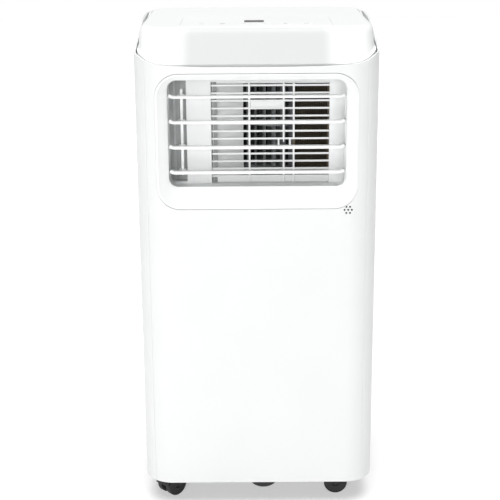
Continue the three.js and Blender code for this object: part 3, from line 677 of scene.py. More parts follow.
def block(x0, x1, y0, y1, z0, z1, edge=0.4):
    """A box with rounded upright edges and softened rims."""
    rings = []
    for z, shrink in ((z0, edge), (z0 + edge, 0), (z1 - edge, 0), (z1, edge)):
        outline = rounded(x0 + shrink, x1 - shrink, y0 + shrink, y1 - shrink, max(edge, 0.05), 2)
        rings.append([(p.x, p.y, z) for p in outline])
    return Shape().loft(rings)


# ------------------------------------------------------------------ pieces


def settle(obj):
    """Turns the object's modifiers into plain mesh."""
    graph = bpy.context.evaluated_depsgraph_get()
    made = bpy.data.meshes.new_from_object(obj.evaluated_get(graph))
    obj.modifiers.clear()
    old, obj.data = obj.data, made
    bpy.data.meshes.remove(old)
    obj.data.name = obj.name


def place_piece(name, mesh, body, material, replaces=(), crease=35, even=True):
    """Shades a mesh, gives it its material, and lets it ride on a body of the frame."""
    obj = bpy.data.objects.new(name, mesh)
    bpy.context.scene.collection.objects.link(obj)
    mesh.name = name
    if not mesh.materials:
        mesh.materials.append(material)
    mesh.shade_smooth()
    mesh.set_sharp_from_angle(angle=math.radians(crease))
    if even:
        modifier = obj.modifiers.new("Even shading", "WEIGHTED_NORMAL")
        modifier.keep_sharp = True
        modifier.weight = 80
        settle(obj)
    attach(obj, body)
    if replaces:
        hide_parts(*replaces)
    return obj


def grow(name, tree, inputs, body, slot, material, replaces=(), crease=35):
    """Runs a geometry tree, and keeps its result as one plain mesh that rides on a body."""
    obj = bpy.data.objects.new(name, bpy.data.meshes.new(name))
    bpy.context.scene.collection.objects.link(obj)
    modifier = obj.modifiers.new("Pattern", "NODES")
    modifier.node_group = tree
    for item in tree.interface.items_tree:
        if item.item_type == "SOCKET" and item.in_out == "INPUT" and item.name in inputs:
            modifier[item.identifier] = inputs[item.name]
    settle(obj)
    mesh = obj.data
    bpy.data.objects.remove(obj)
    return place_piece(name, mesh, body, material, replaces, crease, even=False)


def open_tree(name, lengths=(), counts=()):
    """A geometry tree with named inputs for its sizes and counts, and its material."""
    tree = bpy.data.node_groups.new(name, "GeometryNodeTree")
    for label in lengths:
        tree.interface.new_socket(label, in_out="INPUT", socket_type="NodeSocketFloat")
    for label in counts:
        tree.interface.new_socket(label, in_out="INPUT", socket_type="NodeSocketInt")
    tree.interface.new_socket("Material", in_out="INPUT", socket_type="NodeSocketMaterial")
    tree.interface.new_socket("Geometry", in_out="OUTPUT", socket_type="NodeSocketGeometry")
    return tree, add_node(tree, "NodeGroupInput").outputs


def close_tree(tree, instances, given):
    """Ends a tree: real geometry with its material."""
    real = add_node(tree, "GeometryNodeRealizeInstances", inputs={"Geometry": instances})
    done = add_node(
        tree,
        "GeometryNodeSetMaterial",
        inputs={"Geometry": real.outputs["Geometry"], "Material": given["Material"]},
    )
    add_node(tree, "NodeGroupOutput", inputs={"Geometry": done.outputs["Geometry"]})


def bar_tree():
    """Rows of round-edged bars along X, repeated up Z and, in columns, along X."""
    tree, given = open_tree(
        "Rows of bars",
        ("Length", "Height", "Depth", "Edge", "Pitch", "Column pitch", "X", "Y", "Z"),
        ("Rows", "Columns"),
    )
    half = add_node(tree, "ShaderNodeMath", {"operation": "MULTIPLY"}, {0: given["Length"], 1: 0.5})
    minus = add_node(tree, "ShaderNodeMath", {"operation": "MULTIPLY"}, {0: given["Length"], 1: -0.5})
    start = add_node(tree, "ShaderNodeCombineXYZ", inputs={"X": minus.outputs[0]})
    end = add_node(tree, "ShaderNodeCombineXYZ", inputs={"X": half.outputs[0]})
    line = add_node(
        tree, "GeometryNodeCurvePrimitiveLine", inputs={"Start": start.outputs[0], "End": end.outputs[0]}
    )
    section = add_node(
        tree,
        "GeometryNodeCurvePrimitiveQuadrilateral",
        inputs={"Width": given["Height"], "Height": given["Depth"]},
    )
    soft = add_node(
        tree,
        "GeometryNodeFilletCurve",
        {"mode": "POLY"},
        inputs={"Curve": section.outputs[0], "Radius": given["Edge"]},
    )
    soft.inputs["Count"].default_value = 3
    bar = add_node(
        tree,
        "GeometryNodeCurveToMesh",
        inputs={"Curve": line.outputs[0], "Profile Curve": soft.outputs[0], "Fill Caps": True},
    )
    step = add_node(tree, "ShaderNodeCombineXYZ", inputs={"Z": given["Pitch"]})
    first = add_node(
        tree, "ShaderNodeCombineXYZ", inputs={"X": given["X"], "Y": given["Y"], "Z": given["Z"]}
    )
    row = add_node(
        tree,
        "GeometryNodeMeshLine",
        inputs={"Count": given["Rows"], "Start Location": first.outputs[0], "Offset": step.outputs[0]},
    )
    bars = add_node(
        tree,
        "GeometryNodeInstanceOnPoints",
        inputs={"Points": row.outputs[0], "Instance": bar.outputs[0]},
    )
    aside = add_node(tree, "ShaderNodeCombineXYZ", inputs={"X": given["Column pitch"]})
    columns = add_node(
        tree,
        "GeometryNodeMeshLine",
        inputs={"Count": given["Columns"], "Offset": aside.outputs[0]},
    )
    all_bars = add_node(
        tree,
        "GeometryNodeInstanceOnPoints",
        inputs={"Points": columns.outputs[0], "Instance": bars.outputs[0]},
    )
    close_tree(tree, all_bars.outputs[0], given)
    return tree


def blade_tree():
    """Slanted blades round an upright axis."""
    tree, given = open_tree(
        "Ring of blades", ("Radius", "Chord", "Thickness", "Height", "Slant", "X", "Y", "Z"), ("Blades",)
    )
    size = add_node(
        tree,
        "ShaderNodeCombineXYZ",
        inputs={"X": given["Chord"], "Y": given["Thickness"], "Z": given["Height"]},
    )
    blade = add_node(tree, "GeometryNodeMeshCube", inputs={"Size": size.outputs[0], "Vertices X": 4})
    spot = add_node(tree, "GeometryNodeInputPosition")
    axes = add_node(tree, "ShaderNodeSeparateXYZ", inputs={"Vector": spot.outputs[0]})
    square = add_node(
        tree, "ShaderNodeMath", {"operation": "POWER"}, {0: axes.outputs["X"], 1: 2.0}
    )
    belly = add_node(tree, "ShaderNodeMath", {"operation": "MULTIPLY"}, {0: square.outputs[0], 1: 45.0})
    shift = add_node(tree, "ShaderNodeCombineXYZ", inputs={"Y": belly.outputs[0]})
    curved = add_node(
        tree,
        "GeometryNodeSetPosition",
        inputs={"Geometry": blade.outputs["Mesh"], "Offset": shift.outputs[0]},
    )
    hoop = add_node(
        tree,
        "GeometryNodeMeshCircle",
        inputs={"Vertices": given["Blades"], "Radius": given["Radius"]},
    )
    index = add_node(tree, "GeometryNodeInputIndex")
    share = add_node(
        tree, "ShaderNodeMath", {"operation": "DIVIDE"}, {0: index.outputs[0], 1: given["Blades"]}
    )
    turn = add_node(
        tree,
        "ShaderNodeMath",
        {"operation": "MULTIPLY_ADD"},
        {0: share.outputs[0], 1: 2 * math.pi, 2: given["Slant"]},
    )
    facing = add_node(tree, "ShaderNodeCombineXYZ", inputs={"Z": turn.outputs[0]})
    ring = add_node(
        tree,
        "GeometryNodeInstanceOnPoints",
        inputs={
            "Points": hoop.outputs[0],
            "Instance": curved.outputs[0],
            "Rotation": facing.outputs[0],
        },
    )
    spot = add_node(
        tree, "ShaderNodeCombineXYZ", inputs={"X": given["X"], "Y": given["Y"], "Z": given["Z"]}
    )
    there = add_node(
        tree,
        "GeometryNodeTransform",
        inputs={"Geometry": ring.outputs[0], "Translation": spot.outputs[0]},
    )
    close_tree(tree, there.outputs[0], given)
    return tree


# ------------------------------------------------------------------ operators


class BuildShells(bpy.types.Operator):
    """Makes the front, side and rear shells, wrapped round the cabinet's plan."""

    bl_idname = "airconditioner.shells"
    bl_label = "Cabinet shells"

    def execute(self, context):
        settings = context.scene.ac_cabinet
        edge, half_gap = settings.edge_radius / MM, settings.seam_gap / MM / 2
        # ABS, moulded satin white: an even, low sheen with a fine etched grain; its white is set darker than
        # the cover's white, and that difference is painted shade
        white = moulded("ABS satin, shell white", tuple(settings.shaded_shell_colour), 0.38)
        bends = [side * (FLAT + ARC * i / 36) for i in range(37) for side in (-1, 1)]
        far_bends = [side * (FLAT + ARC + SIDE + ARC * i / 36) for i in range(37) for side in (-1, 1)]

        def round_front(point):
            spot = plan(point.x, point.y)
            return Vector((spot.x, spot.y, point.z))

        def round_rear(point):
            spot = plan(math.copysign(HALF_GIRTH - abs(point.x), point.x or 1.0), point.y)
            return Vector((spot.x, spot.y, point.z))

        def upper_edge(start, end, step=3.0):
            count = max(int(abs(end - start) / step), 1)
            spots = [start + (end - start) * i / count for i in range(count + 1)]
            return [Vector((s, along(SEAM, abs(s)) - half_gap * along(SEAM_SHARE, abs(s)))) for s in spots]

        # front
        outline = [Vector((-PANEL_END, BOTTOM)), Vector((PANEL_END, BOTTOM))]
        outline += upper_edge(PANEL_END, -PANEL_END)
        gap = 0.45
        bezel = rounded(-BEZEL_HIGH.x - gap, BEZEL_HIGH.x + gap, BEZEL_LOW.z - gap, BEZEL_HIGH.z + gap,
                        31 + gap, 16)  # fmt: skip
        centre, pitch = Vector((119.7, 428.0)), 4.8
        spots = [centre] + [
            centre + Vector((math.cos(i * math.pi / 3), math.sin(i * math.pi / 3))) * pitch for i in range(6)
        ]
        sensor = [disc(spot.x, spot.y, 1.3, 14) for spot in spots]
        shape = slab(outline, [bezel] + sensor, edge=edge)
        mesh = shape.mesh(cuts=[b for b in bends if abs(b) < PANEL_END], change=round_front)
        place_piece("front_shell", mesh, "cabinet", white, ["front_panel"])
        # polypropylene, moulded matt black: the sensor's mesh, close behind its seven holes
        black = moulded("Polypropylene matt, sensor", linear("0C0C0D"), 0.7, relief=0.1)
        grid = Shape()
        for spot in spots:
            grid.include(slab(disc(spot.x, spot.y, 1.2, 14), depth=1.2, edge=0.2))
        grid.moved(lambda p: Vector((p.x, p.y + FRONT + 0.45, p.z)))
        place_piece("sensor_mesh", grid.mesh(), "cabinet", black)

        # sides
        start, end = PANEL_END + 0.3, HALF_GIRTH - REAR_END - 0.5
        low, high = corner("left_grip_cup", 0), corner("left_grip_cup", 1)
        offset = FLAT + ARC - (FRONT + ROUND)
        for side, name in ((-1, "left"), (1, "right")):
            points = [Vector((start, BOTTOM)), Vector((end, BOTTOM))] + upper_edge(end, start)
            grip = rounded(low.y + offset - gap, high.y + offset + gap, low.z - gap, high.z + gap, 14.4, 8)
            shape = slab(points, [grip], edge=edge)
            cuts = [b for b in bends + far_bends if start < b < end]
            mesh = shape.mesh(cuts=cuts, change=round_front)
            if side < 0:
                mesh.transform(Matrix.Scale(-1, 4, (1, 0, 0)))
                mesh.flip_normals()
            place_piece(f"{name}_shell", mesh, "cabinet", white, [f"{name}_side_panel"])

        # rear
        top = along(SEAM, HALF_GIRTH) - half_gap
        outline = [Vector((-REAR_END, BOTTOM)), Vector((REAR_END, BOTTOM)), Vector((REAR_END, top)),
                   Vector((-REAR_END, top))]  # fmt: skip
        holes = []
        for node in ("upper_filter_frame", "lower_filter_frame"):
            low, high = corner(node, 0), corner(node, 1)
            holes.append(around(low, high, gap, 6, 6, up="z"))
        for node in ("exhaust_collar", "middle_drain_plug", "lower_drain_plug"):
            low, high = corner(node, 0), corner(node, 1)
            radius = (high.x - low.x) / 2 + gap
            holes.append(disc((low.x + high.x) / 2, (low.z + high.z) / 2, radius, 64))
        low, high = corner("cord_gland", 0), corner("cord_gland", 1)
        holes.append(disc((low.x + high.x) / 2, (low.z + high.z) / 2, 8.45, 32))
        shape = slab(outline, holes, edge=edge)
        cuts = [side * (FLAT + 0.4 * i) for i in range(4) for side in (-1, 1)]
        mesh = shape.mesh(cuts=cuts, change=round_rear)
        place_piece("rear_shell", mesh, "cabinet", white, ["rear_panel"])

        # finger grips, moulded like the shells
        for name, side in (("left", -1), ("right", 1)):
            low, high = corner(f"{name}_grip_cup", 0), corner(f"{name}_grip_cup", 1)
            outline = rounded(low.y, high.y, low.z, high.z, 14, 10)
            depth = high.x - low.x
            rings = []
            for shrink, at in (
                (2.2, depth - 0.3), (0.0, depth - 0.3), (0.0, 0.25), (0.25, 0.0), (0.9, 0.0),
                (1.5, 0.3), (1.9, 1.0), (2.1, 2.2), (3.4, depth - 7), (4.6, depth - 4), (7.4, depth - 2.8),
            ):  # fmt: skip
                ring = inset(outline, shrink)
                rings.append([(side * (HALF_WIDTH - at), p.x, p.y) for p in ring])
            cup = Shape().loft(rings, caps=(True, True))
            place_piece(f"{name}_grip", cup.mesh(), "cabinet", white, [f"{name}_grip_cup"])
        return {"FINISHED"}


def cover_ring(z, steps=24, shrink=0.0):
    """One level of the cover's skin: how far it stands in from the cabinet grows towards the top."""
    low, crest = 618.0, 656.0
    if z <= crest:
        share = (z - low) / (crest - low)
        side, front = 5.0 + 1.4 * share, -149.2 + 27.5 * share
    else:
        t = 1 - math.sqrt(max((TOP - z) / (TOP - crest), 0.0))
        mix = ((1 - t) ** 2, 2 * t * (1 - t), t * t)
        side = 6.4 * mix[0] + 6.7 * mix[1] + 13.5 * mix[2]
        front = -121.7 * mix[0] - 115.9 * mix[1] - 107.0 * mix[2]
    side, front = side + shrink, front + shrink
    radius = ROUND - side + 2.5
    return rounded(-HALF_WIDTH + side, HALF_WIDTH - side, front, REAR - side, radius, steps)


def girth_of(point):
    """How far round the cabinet a point of its plan lies."""
    x, y = abs(point.x), point.y
    if y <= FRONT + ROUND and x >= FLAT:
        return FLAT + ROUND * math.atan2(x - FLAT, -(y - FRONT - ROUND) or 1e-6)
    if x < FLAT and y < 0:
        return x
    if y < REAR - ROUND:
        return FLAT + ARC + y - FRONT - ROUND
    return 500.0


class BuildCover(bpy.types.Operator):
    """Makes the wedge-shaped top cover with its recess for the fascia."""

    bl_idname = "airconditioner.cover"
    bl_label = "Top cover"

    def execute(self, context):
        settings = context.scene.ac_cabinet
        # ABS, moulded satin white, with painted shade: light grey over the middle of the front slope
        white = cover_plastic(tuple(context.scene.ac_outlet.trim_colour), tuple(settings.slope_painted_shade))
        half_gap, skin = settings.seam_gap / MM / 2, 2.4
        edge = cover_ring(618.0)
        foot = [along(SEAM, girth_of(p)) + half_gap * along(SEAM_SHARE, girth_of(p)) for p in edge]
        top_shares = [1 - (1 - k / 22) ** 2 for k in range(23)]

        def level(share, shrink=0.0, top=TOP):
            ring = []
            for i, z0 in enumerate(foot):
                z = z0 + (top - z0) * share
                spot = cover_ring(min(z, TOP), shrink=shrink)[i]
                ring.append((spot.x, spot.y, z))
            return ring

        outer = [level(share) for share in top_shares]
        inner = [level(share, skin, TOP - skin) for share in (0.0, 0.3, 0.6, 0.85, 1.0)]
        # under the joint the skin steps inwards and hangs down inside the shells
        hung = []
        for drop, extra in ((0.0, 0.0), (9.0, 0.0), (9.0, 2.0)):
            ring = []
            for i, z0 in enumerate(foot):
                spot = rounded(-HALF_WIDTH + 4.6 + extra, HALF_WIDTH - 4.6 - extra,
                               FRONT + 4.0 + extra, REAR - 4.6 - extra, ROUND - 5, 24)[i]  # fmt: skip
                ring.append((spot.x, spot.y, z0 - drop))
            hung.append(ring)
        fascia_low, fascia_high = corner("control_fascia", 0), corner("control_fascia", 1)
        gap = 0.35
        recess = around(fascia_low, fascia_high, gap, 8, 8)
        shape = Shape()
        shape.loft(list(reversed(inner)) + list(reversed(hung)) + outer, caps=(False, False))
        hole_low = [(p.x, p.y, TOP - skin) for p in reversed(recess)]
        soft = [(p.x, p.y, TOP) for p in inset(list(reversed(recess)), 0.35)]
        soft_low = [(p.x, p.y, TOP - 0.35) for p in reversed(recess)]
        shape.fill([outer[-1], soft])
        shape.loft([soft, soft_low, hole_low], caps=(False, False))
        shape.fill([inner[-1], hole_low])
        mesh = shape.mesh()
        place_piece("cover", mesh, "cabinet", white, ["top_cover"], crease=50)
        ledge = slab(
            rounded(fascia_low.x - 4, fascia_high.x + 4, fascia_low.y - 3, fascia_high.y + 4, 8, 8),
            [around(fascia_low, fascia_high, -5, 4, 8)],
            depth=2.0,
        )
        ledge.moved(lambda p: Vector((p.x, p.z, TOP - skin - 0.05 - p.y)))
        place_piece("cover_ledge", ledge.mesh(), "cabinet", white)
        return {"FINISHED"}


def stroke(points, width, closed=False):
    """A flat printed line of this width through the points, as quads in X and Y."""
    shape = Shape()
    path = [Vector(p) for p in points]
    count = len(path)
    left, right = [], []
    for i, point in enumerate(path):
        before = path[i - 1] if (i or closed) else None
        after = path[(i + 1) % count] if (i < count - 1 or closed) else None
        direction = ((after or point) - (before or point)).normalized()
        normal = Vector((-direction.y, direction.x)) * width / 2
        left.append(point + normal)
        right.append(point - normal)
    for i in range(count if closed else count - 1):
        j = (i + 1) % count
        base = len(shape.points)
        shape.points += [(q.x, q.y, 0.0) for q in (left[i], right[i], right[j], left[j])]
        shape.faces.append((base, base + 1, base + 2, base + 3))
    return shape


def arc(radius, start, end, steps=20):
    """Points on part of a circle, angles in degrees."""
    turns = [math.radians(start + (end - start) * i / steps) for i in range(steps + 1)]
    return [(radius * math.cos(a), radius * math.sin(a)) for a in turns]


def symbols():
    """The generic symbol printed on each button, about its own middle."""
    line = 0.7
    drawn = {}
    drawn["power"] = [stroke(arc(2.9, 120, 420), line), stroke([(0, 1.2), (0, 3.7)], line)]
    wave = [(x * 0.45, 1.0 * math.sin(x * 0.9)) for x in range(-8, 9)]
    drawn["mode"] = [stroke([(x, y + dy) for x, y in wave], line) for dy in (-2.0, 0.0, 2.0)]
    drawn["cooler"] = [stroke([(-3, 1.6), (0, -1.6), (3, 1.6)], line)]
    drawn["warmer"] = [stroke([(-3, -1.6), (0, 1.6), (3, -1.6)], line)]
    petals = []
    for k in range(3):
        turn = Matrix.Rotation(math.radians(120 * k), 2)
        petals.append(stroke([turn @ Vector((0.5 + x, y)) for x, y in arc(1.6, -100, 160, 14)], line))
    drawn["fan"] = petals
    drawn["timer"] = [
        stroke(arc(3.0, 0, 342, 26), line, closed=True),
        stroke([(0, 2.0), (0, 0), (1.6, 0)], line),
    ]
    return drawn


class BuildControls(bpy.types.Operator):
    """Makes the fascia, its six buttons with printed symbols, and the display window."""

    bl_idname = "airconditioner.controls"
    bl_label = "Controls"

    def execute(self, context):
        settings = context.scene.ac_controls
        # ABS, moulded satin: the same even white as the cover
        gloss = moulded("ABS satin, fascia", tuple(context.scene.ac_outlet.trim_colour), 0.37, relief=0.22)
        # pad-printing ink: flat grey
        ink = moulded("Ink, printed symbols", tuple(settings.print_colour), 0.5, relief=0.1)
        dark = acrylic(tuple(settings.display_colour))
        low, high = corner("control_fascia", 0), corner("control_fascia", 1)
        window_low, window_high = corner("display_window", 0), corner("display_window", 1)
        names = ("power", "mode", "cooler", "warmer", "fan", "timer")
        gap = 0.35
        holes = [around(window_low, window_high, 0.2, 0.8, 4)]
        for name in names:
            a, b = corner(f"button_{name}", 0), corner(f"button_{name}", 1)
            holes.append(around(a, b, gap, 5.4, 8))
        plate = slab(around(low, high, 0, 8), holes, depth=high.z - low.z, edge=0.3)
        plate.moved(lambda p: Vector((p.x, p.z, high.z - p.y)))
        place_piece("fascia", plate.mesh(), "cabinet", gloss, ["control_fascia"])
        drawn = symbols()
        for name in names:
            a, b = corner(f"button_{name}", 0), corner(f"button_{name}", 1)
            cap = slab(around(a, b, 0, 5), depth=4.0, edge=0.9, steps=5)
            cap.moved(lambda p: Vector((p.x, p.z, b.z - 0.02 - p.y)))
            middle = (a + b) / 2
            cap.include(turned([(2, b.z - 8.5), (2, b.z - 3.5)], middle.x, middle.y, 20))
            place_piece(f"key_{name}", cap.mesh(), f"button_{name}", gloss, [f"button_{name}"])
            sign = Shape()
            for part in drawn[name]:
                sign.include(part)
            sign.moved(lambda p: Vector((middle.x + p.x, middle.y + p.y, b.z)))
            place_piece(f"sign_{name}", sign.mesh(), f"button_{name}", ink, even=False)
        pane = slab(around(window_low, window_high, 0, 0.7, 4), depth=1.2, edge=0.15)
        pane.moved(lambda p: Vector((p.x, p.z, window_high.z - p.y)))
        place_piece("display_pane", pane.mesh(), "cabinet", dark, ["display_window"])
        return {"FINISHED"}


class BuildBezel(bpy.types.Operator):
    """Makes the bezel with its lip and the ramp that leads in to the opening."""

    bl_idname = "airconditioner.bezel"
    bl_label = "Outlet bezel"

    def execute(self, context):
        # ABS, moulded satin white, smoother than the shells; its white is the trim's, darkened a little as
        # painted shade
        trim = shade(tuple(context.scene.ac_outlet.trim_colour), 0.93)
        white = moulded("ABS satin, bezel", trim, 0.32, relief=0.15)
        half, low, high = BEZEL_HIGH.x, BEZEL_LOW.z, BEZEL_HIGH.z
        depth = BEZEL_HIGH.y - BEZEL_LOW.y
        steps = 14

        def ring(share, y, lip=0.0):
            """From the bezel's own outline at 0 to the opening's at 1."""
            x = (half - lip) * (1 - share) + OPENING["half_width"] * share
            z0 = (low + lip) * (1 - share) + OPENING["bottom"] * share
            z1 = (high - lip) * (1 - share) + OPENING["top"] * share
            radius = (31 - lip) * (1 - share) + OPENING["radius"] * share
            return [(p.x, y, p.y) for p in rounded(-x, x, z0, z1, radius, steps)]

        face = BEZEL_LOW.y
        rings = [ring(0, face + depth), ring(0, face + 0.6), ring(0, face + 0.18, 0.18), ring(0, face, 0.6)]
        rings += [ring(0, face, 2.2), ring(0, face + 0.12, 2.7)]
        for k in range(1, 9):
            share = k / 9
            rings.append(ring(share, face + 0.12 + (depth - 1.6) * share ** 0.85, 2.7))
        rings += [ring(0.97, face + depth - 1.2), ring(1.0, face + depth - 0.3), ring(1.0, face + depth)]
        shape = Shape().loft(rings, closed=True)

        def flush(point):
            """Follows the cabinet's skin where it starts to curve away at the sides."""
            beyond = max(abs(point.x) - FLAT, 0.0)
            return Vector((point.x, point.y + ROUND - math.sqrt(ROUND**2 - beyond**2), point.z))

        place_piece("bezel", shape.moved(flush).mesh(), "cabinet", white, ["vent_bezel"], 40)
        return {"FINISHED"}


class BuildLouvres(bpy.types.Operator):
    """Makes the four louvres with their upturned ends, and the link that ties them."""

    bl_idname = "airconditioner.louvres"
    bl_label = "Louvres and link"

    def execute(self, context):
        settings = context.scene.ac_outlet
        # ABS, moulded satin white
        white = moulded("ABS satin, louvres", tuple(settings.trim_colour), 0.3, relief=0.12)
        nose = settings.louvre_thickness / MM / 2
        for i in range(LOUVRES):
            z = PIVOT_Z + i * PIVOT_PITCH
            shape = self.blade(nose)
            tip = Matrix.Rotation(TILT, 3, "X")
            shape.moved(lambda p: tip @ p + Vector((0, PIVOT_Y, z)))
            name = f"louver_{i + 1}"
            place_piece(f"blade_{i + 1}", shape.mesh(), name, white, [name], 40)
        self.link(white)
        return {"FINISHED"}

    def blade(self, nose):
        """One louvre about its pivot, from a section swept along X that lifts and closes at the ends."""
        front, back = -12.5, 12.0
        section = []
        for k in range(13):
            a = math.radians(90 + 180 * k / 12)
            section.append((front + nose + nose * math.cos(a), nose * math.sin(a)))
        section += [(front + 7, -1.35), (0, -1.25), (back - 3, -0.95), (back - 0.6, -0.8)]
        section += [(back, -0.4), (back, 0.4), (back - 0.6, 0.8), (back - 3, 0.95), (0, 1.25)]
        section.append((front + 7, 1.35))
        half = 115.4
        spots = [0.0, 40, 80, 104, 109, 110, 110.8, 111.6, 112.4, 113, 113.8, 114.4, 114.9, 115.2, half]
        stations = [-x for x in reversed(spots[1:])] + spots
        rings = []
        middle = -0.25
        for x in stations:
            lift = min(max((abs(x) - 109.5) / 3.6, 0), 1)
            lift = 1.5 * lift * lift * (3 - 2 * lift)
            left = half - abs(x)
            full = math.sqrt(max(1 - (1 - min(left / 2.4, 1)) ** 2, 0.0)) * 0.8 + 0.2
            thick = 1 + 0.2 * lift / 1.5
            chord = 0.72 + 0.28 * full
            rings.append([(x, middle + (y - middle) * chord, z * full * thick + lift) for y, z in section])
        shape = Shape().loft(rings)
        for side in (-1, 1):
            pin = turned([(2.0, 0.0), (2.0, 4.4), (1.6, 4.8)], 0, 0, 24)
            pin.moved(lambda p: Vector((side * (114.2 + p.z), p.x, p.y)))
            shape.include(pin)
        below = [Vector(p) for p in ((4, -1.4), (17, -2.6), (19.4, -1.9))]
        above = [Vector((p.x, -p.y)) for p in reversed(below)]
        lug = slab(below + [Vector((20.2, 0))] + above, depth=2.0, edge=0.3)
        lug.moved(lambda p: Vector((-103.8 + p.y, p.x, p.z)))
        shape.include(lug)
        pin = turned([(1.45, 0.0), (1.45, 5.6), (1.9, 5.8), (1.9, 6.3), (1.2, 6.9)], 0, 0, 20)
        pin.moved(lambda p: Vector((-102.6 + p.z, 18 + p.x, p.y)))
        shape.include(pin)
        return shape

    def link(self, white):
        """The upright bar, widened round each pin hole."""
        low, high = corner("louver_link", 0), corner("louver_link", 1)
        first = Vector((PIVOT_Y + 18 * math.cos(TILT), PIVOT_Z + 18 * math.sin(TILT)))
        left, right = [], []
        steps = 150
        for k in range(steps + 1):
            z = low.z + (high.z - low.z) * k / steps
            near = min(abs(z - first.y - i * PIVOT_PITCH) for i in range(LOUVRES))
            wide = 1.5 + 1.0 * math.exp(-((near / 3.6) ** 2))
            cap = min(z - low.z, high.z - z)
            wide *= math.sqrt(max(1 - (1 - min(cap / 2.0, 1)) ** 2, 0.02))
            left.append(Vector((first.x - wide, z)))
            right.append(Vector((first.x + wide, z)))
        outline = right + list(reversed(left))
        holes = [disc(first.x, first.y + i * PIVOT_PITCH, 2.05, 20) for i in range(LOUVRES)]
        strip = slab(outline, holes, depth=high.x - low.x, edge=0.35, back_edge=0.35)
        strip.moved(lambda p: Vector((low.x + p.y, p.x, p.z)))
        place_piece("tie_bar", strip.mesh(), "louver_link", white, ["louver_link"])


class BuildDuct(bpy.types.Operator):
    """Makes the outlet sleeve with its pocket and curved cheek, and the guard grille across it."""

    bl_idname = "airconditioner.duct"
    bl_label = "Duct and grille"

    def execute(self, context):
        settings = context.scene.ac_outlet
        # polystyrene, moulded matt: the inside of the outlet
        duct = moulded("Polystyrene matt, duct", tuple(settings.duct_colour), 0.5, ior=1.59)
        pocket = pocket_shaded_plastic(tuple(settings.pocket_colour), shade(tuple(settings.pocket_colour), 0.66))
        # polypropylene, moulded satin: the guard
        guard = moulded("Polypropylene satin, guard", linear("FAFBFB"), 0.42, ior=1.49)
        low, high = corner("outlet_duct", 0), corner("outlet_duct", 1)
        grille_low, grille_high = corner("guard_grille", 0), corner("guard_grille", 1)
        back = -92.0
        outer = around(low, high, 0, 14, up="z")
        inner = around(low, high, -3, 11, up="z")
        tube = Shape()
        rings = []
        for loop, y in ((outer, back), (outer, low.y), (inner, low.y), (inner, back)):
            rings.append([(p.x, y, p.y) for p in loop])
        tube.loft(rings, closed=True)
        # the plate behind, with the grille's window and the pocket's mouth
        window = rounded(*WINDOW.values(), 1.0, 4)
        mouth = rounded(-116.6, -94, low.z + 6, high.z - 6, 2.0, 6)
        plate = slab(inner, [window, mouth], depth=4.0, edge=0.5)
        plate.moved(lambda p: Vector((p.x, p.y + back - 4.0, p.z)))
        tube.include(plate)
        # the cheek sweeps from the side wall round to the grille's edge
        cheek = []
        for k in range(17):
            a = math.radians(90 * k / 16)
            cheek.append(Vector((97.4 + 18.8 * math.sin(a), back - 4.2 - 24 * (1 - math.cos(a)))))
        corners = ((118.0, back - 28.2), (118.0, back - 4.0), (97.4, back - 4.0))
        section = cheek + [Vector(p) for p in corners]
        ring_low = [(p.x, p.y, low.z + 3.5) for p in section]
        ring_high = [(p.x, p.y, high.z - 3.5) for p in section]
        tube.include(Shape().loft([ring_low, ring_high]))
        place_piece("duct_sleeve", tube.mesh(), "cabinet", duct, ["outlet_duct"], 40)
        # the pocket: a deep trough with upright ribs, grey with painted shade that darkens towards the
        # grille
        rim_y, floor_y = back - 0.3, -80.0
        levels = ((-1.4, floor_y), (-1.4, rim_y), (0.2, rim_y), (0.2, floor_y - 2.0))
        trough = Shape().loft([[(p.x, y, p.y) for p in inset(mouth, shrink)] for shrink, y in levels])
        for x in (-111.2, -104.6):
            trough.include(block(x - 0.8, x + 0.8, -84.5, -81.5, mouth[-1].y + 3, high.z - 8, 0.3))
        place_piece("duct_pocket", trough.mesh(), "cabinet", pocket)
        # a flat strip between the plate and the start of the scroll, grey as painted shadow on the duct's
        # side wall
        strip_shadow_colour = shade(tuple(settings.pocket_colour), 0.4)
        grey = moulded("Polystyrene matt, grey strip", strip_shadow_colour, 0.55, ior=1.59)
        sill, lintel = WINDOW["bottom"] - 1, WINDOW["top"] + 1
        strip = block(-66.0, -53.6, -88.55, -88.1, sill, lintel, 0.1)
        place_piece("duct_strip", strip.mesh(), "cabinet", grey)
        # the guard: rows of bars grown in a pattern, and its rim and uprights
        tree = bar_tree()
        bar = settings.grille_bar
        lowest = GUARD_TOP - (GUARD_BARS - 1) * GUARD_PITCH
        grow(
            "guard_bars",
            tree,
            {
                "Length": 0.161, "Height": bar, "Depth": 0.0026, "Edge": 0.0006,
                "Pitch": GUARD_PITCH * MM, "Column pitch": 0.0, "X": 0.018, "Y": -0.0901,
                "Z": lowest * MM, "Rows": GUARD_BARS, "Columns": 1, "Material": guard,
            },
            "cabinet", "duct_white", guard, ["guard_grille"],
        )  # fmt: skip
        rim = slab(
            around(grille_low, grille_high, 0, 4, 6, up="z"),
            [rounded(*WINDOW.values(), 1.2, 4)],
            depth=3.0,
            edge=0.4,
        )
        rim.moved(lambda p: Vector((p.x, p.y - 91.6, p.z)))
        rim.include(block(-11.35, -8.65, -91.4, -88.6, sill, lintel, 0.5))
        # two uprights stop at one row, where two stubs stand beside a small peg
        row = GUARD_TOP - 8 * GUARD_PITCH
        for x in (36.0, 49.5):
            rim.include(block(x - 1.3, x + 1.3, -91.4, -88.6, row + GUARD_PITCH, lintel, 0.5))
            rim.include(block(x - 1.3, x + 1.3, -91.4, -88.6, sill, row, 0.5))
        for x in (29.2, 44.4):
            rim.include(block(x - 1.25, x + 1.25, -91.4, -88.6, row - 0.5, row + GUARD_PITCH + 0.5, 0.5))
        rim.include(block(35.2, 36.8, -91.2, -89.2, row + 5.6, row + GUARD_PITCH, 0.4))
        place_piece("guard_rim", rim.mesh(), "cabinet", guard)
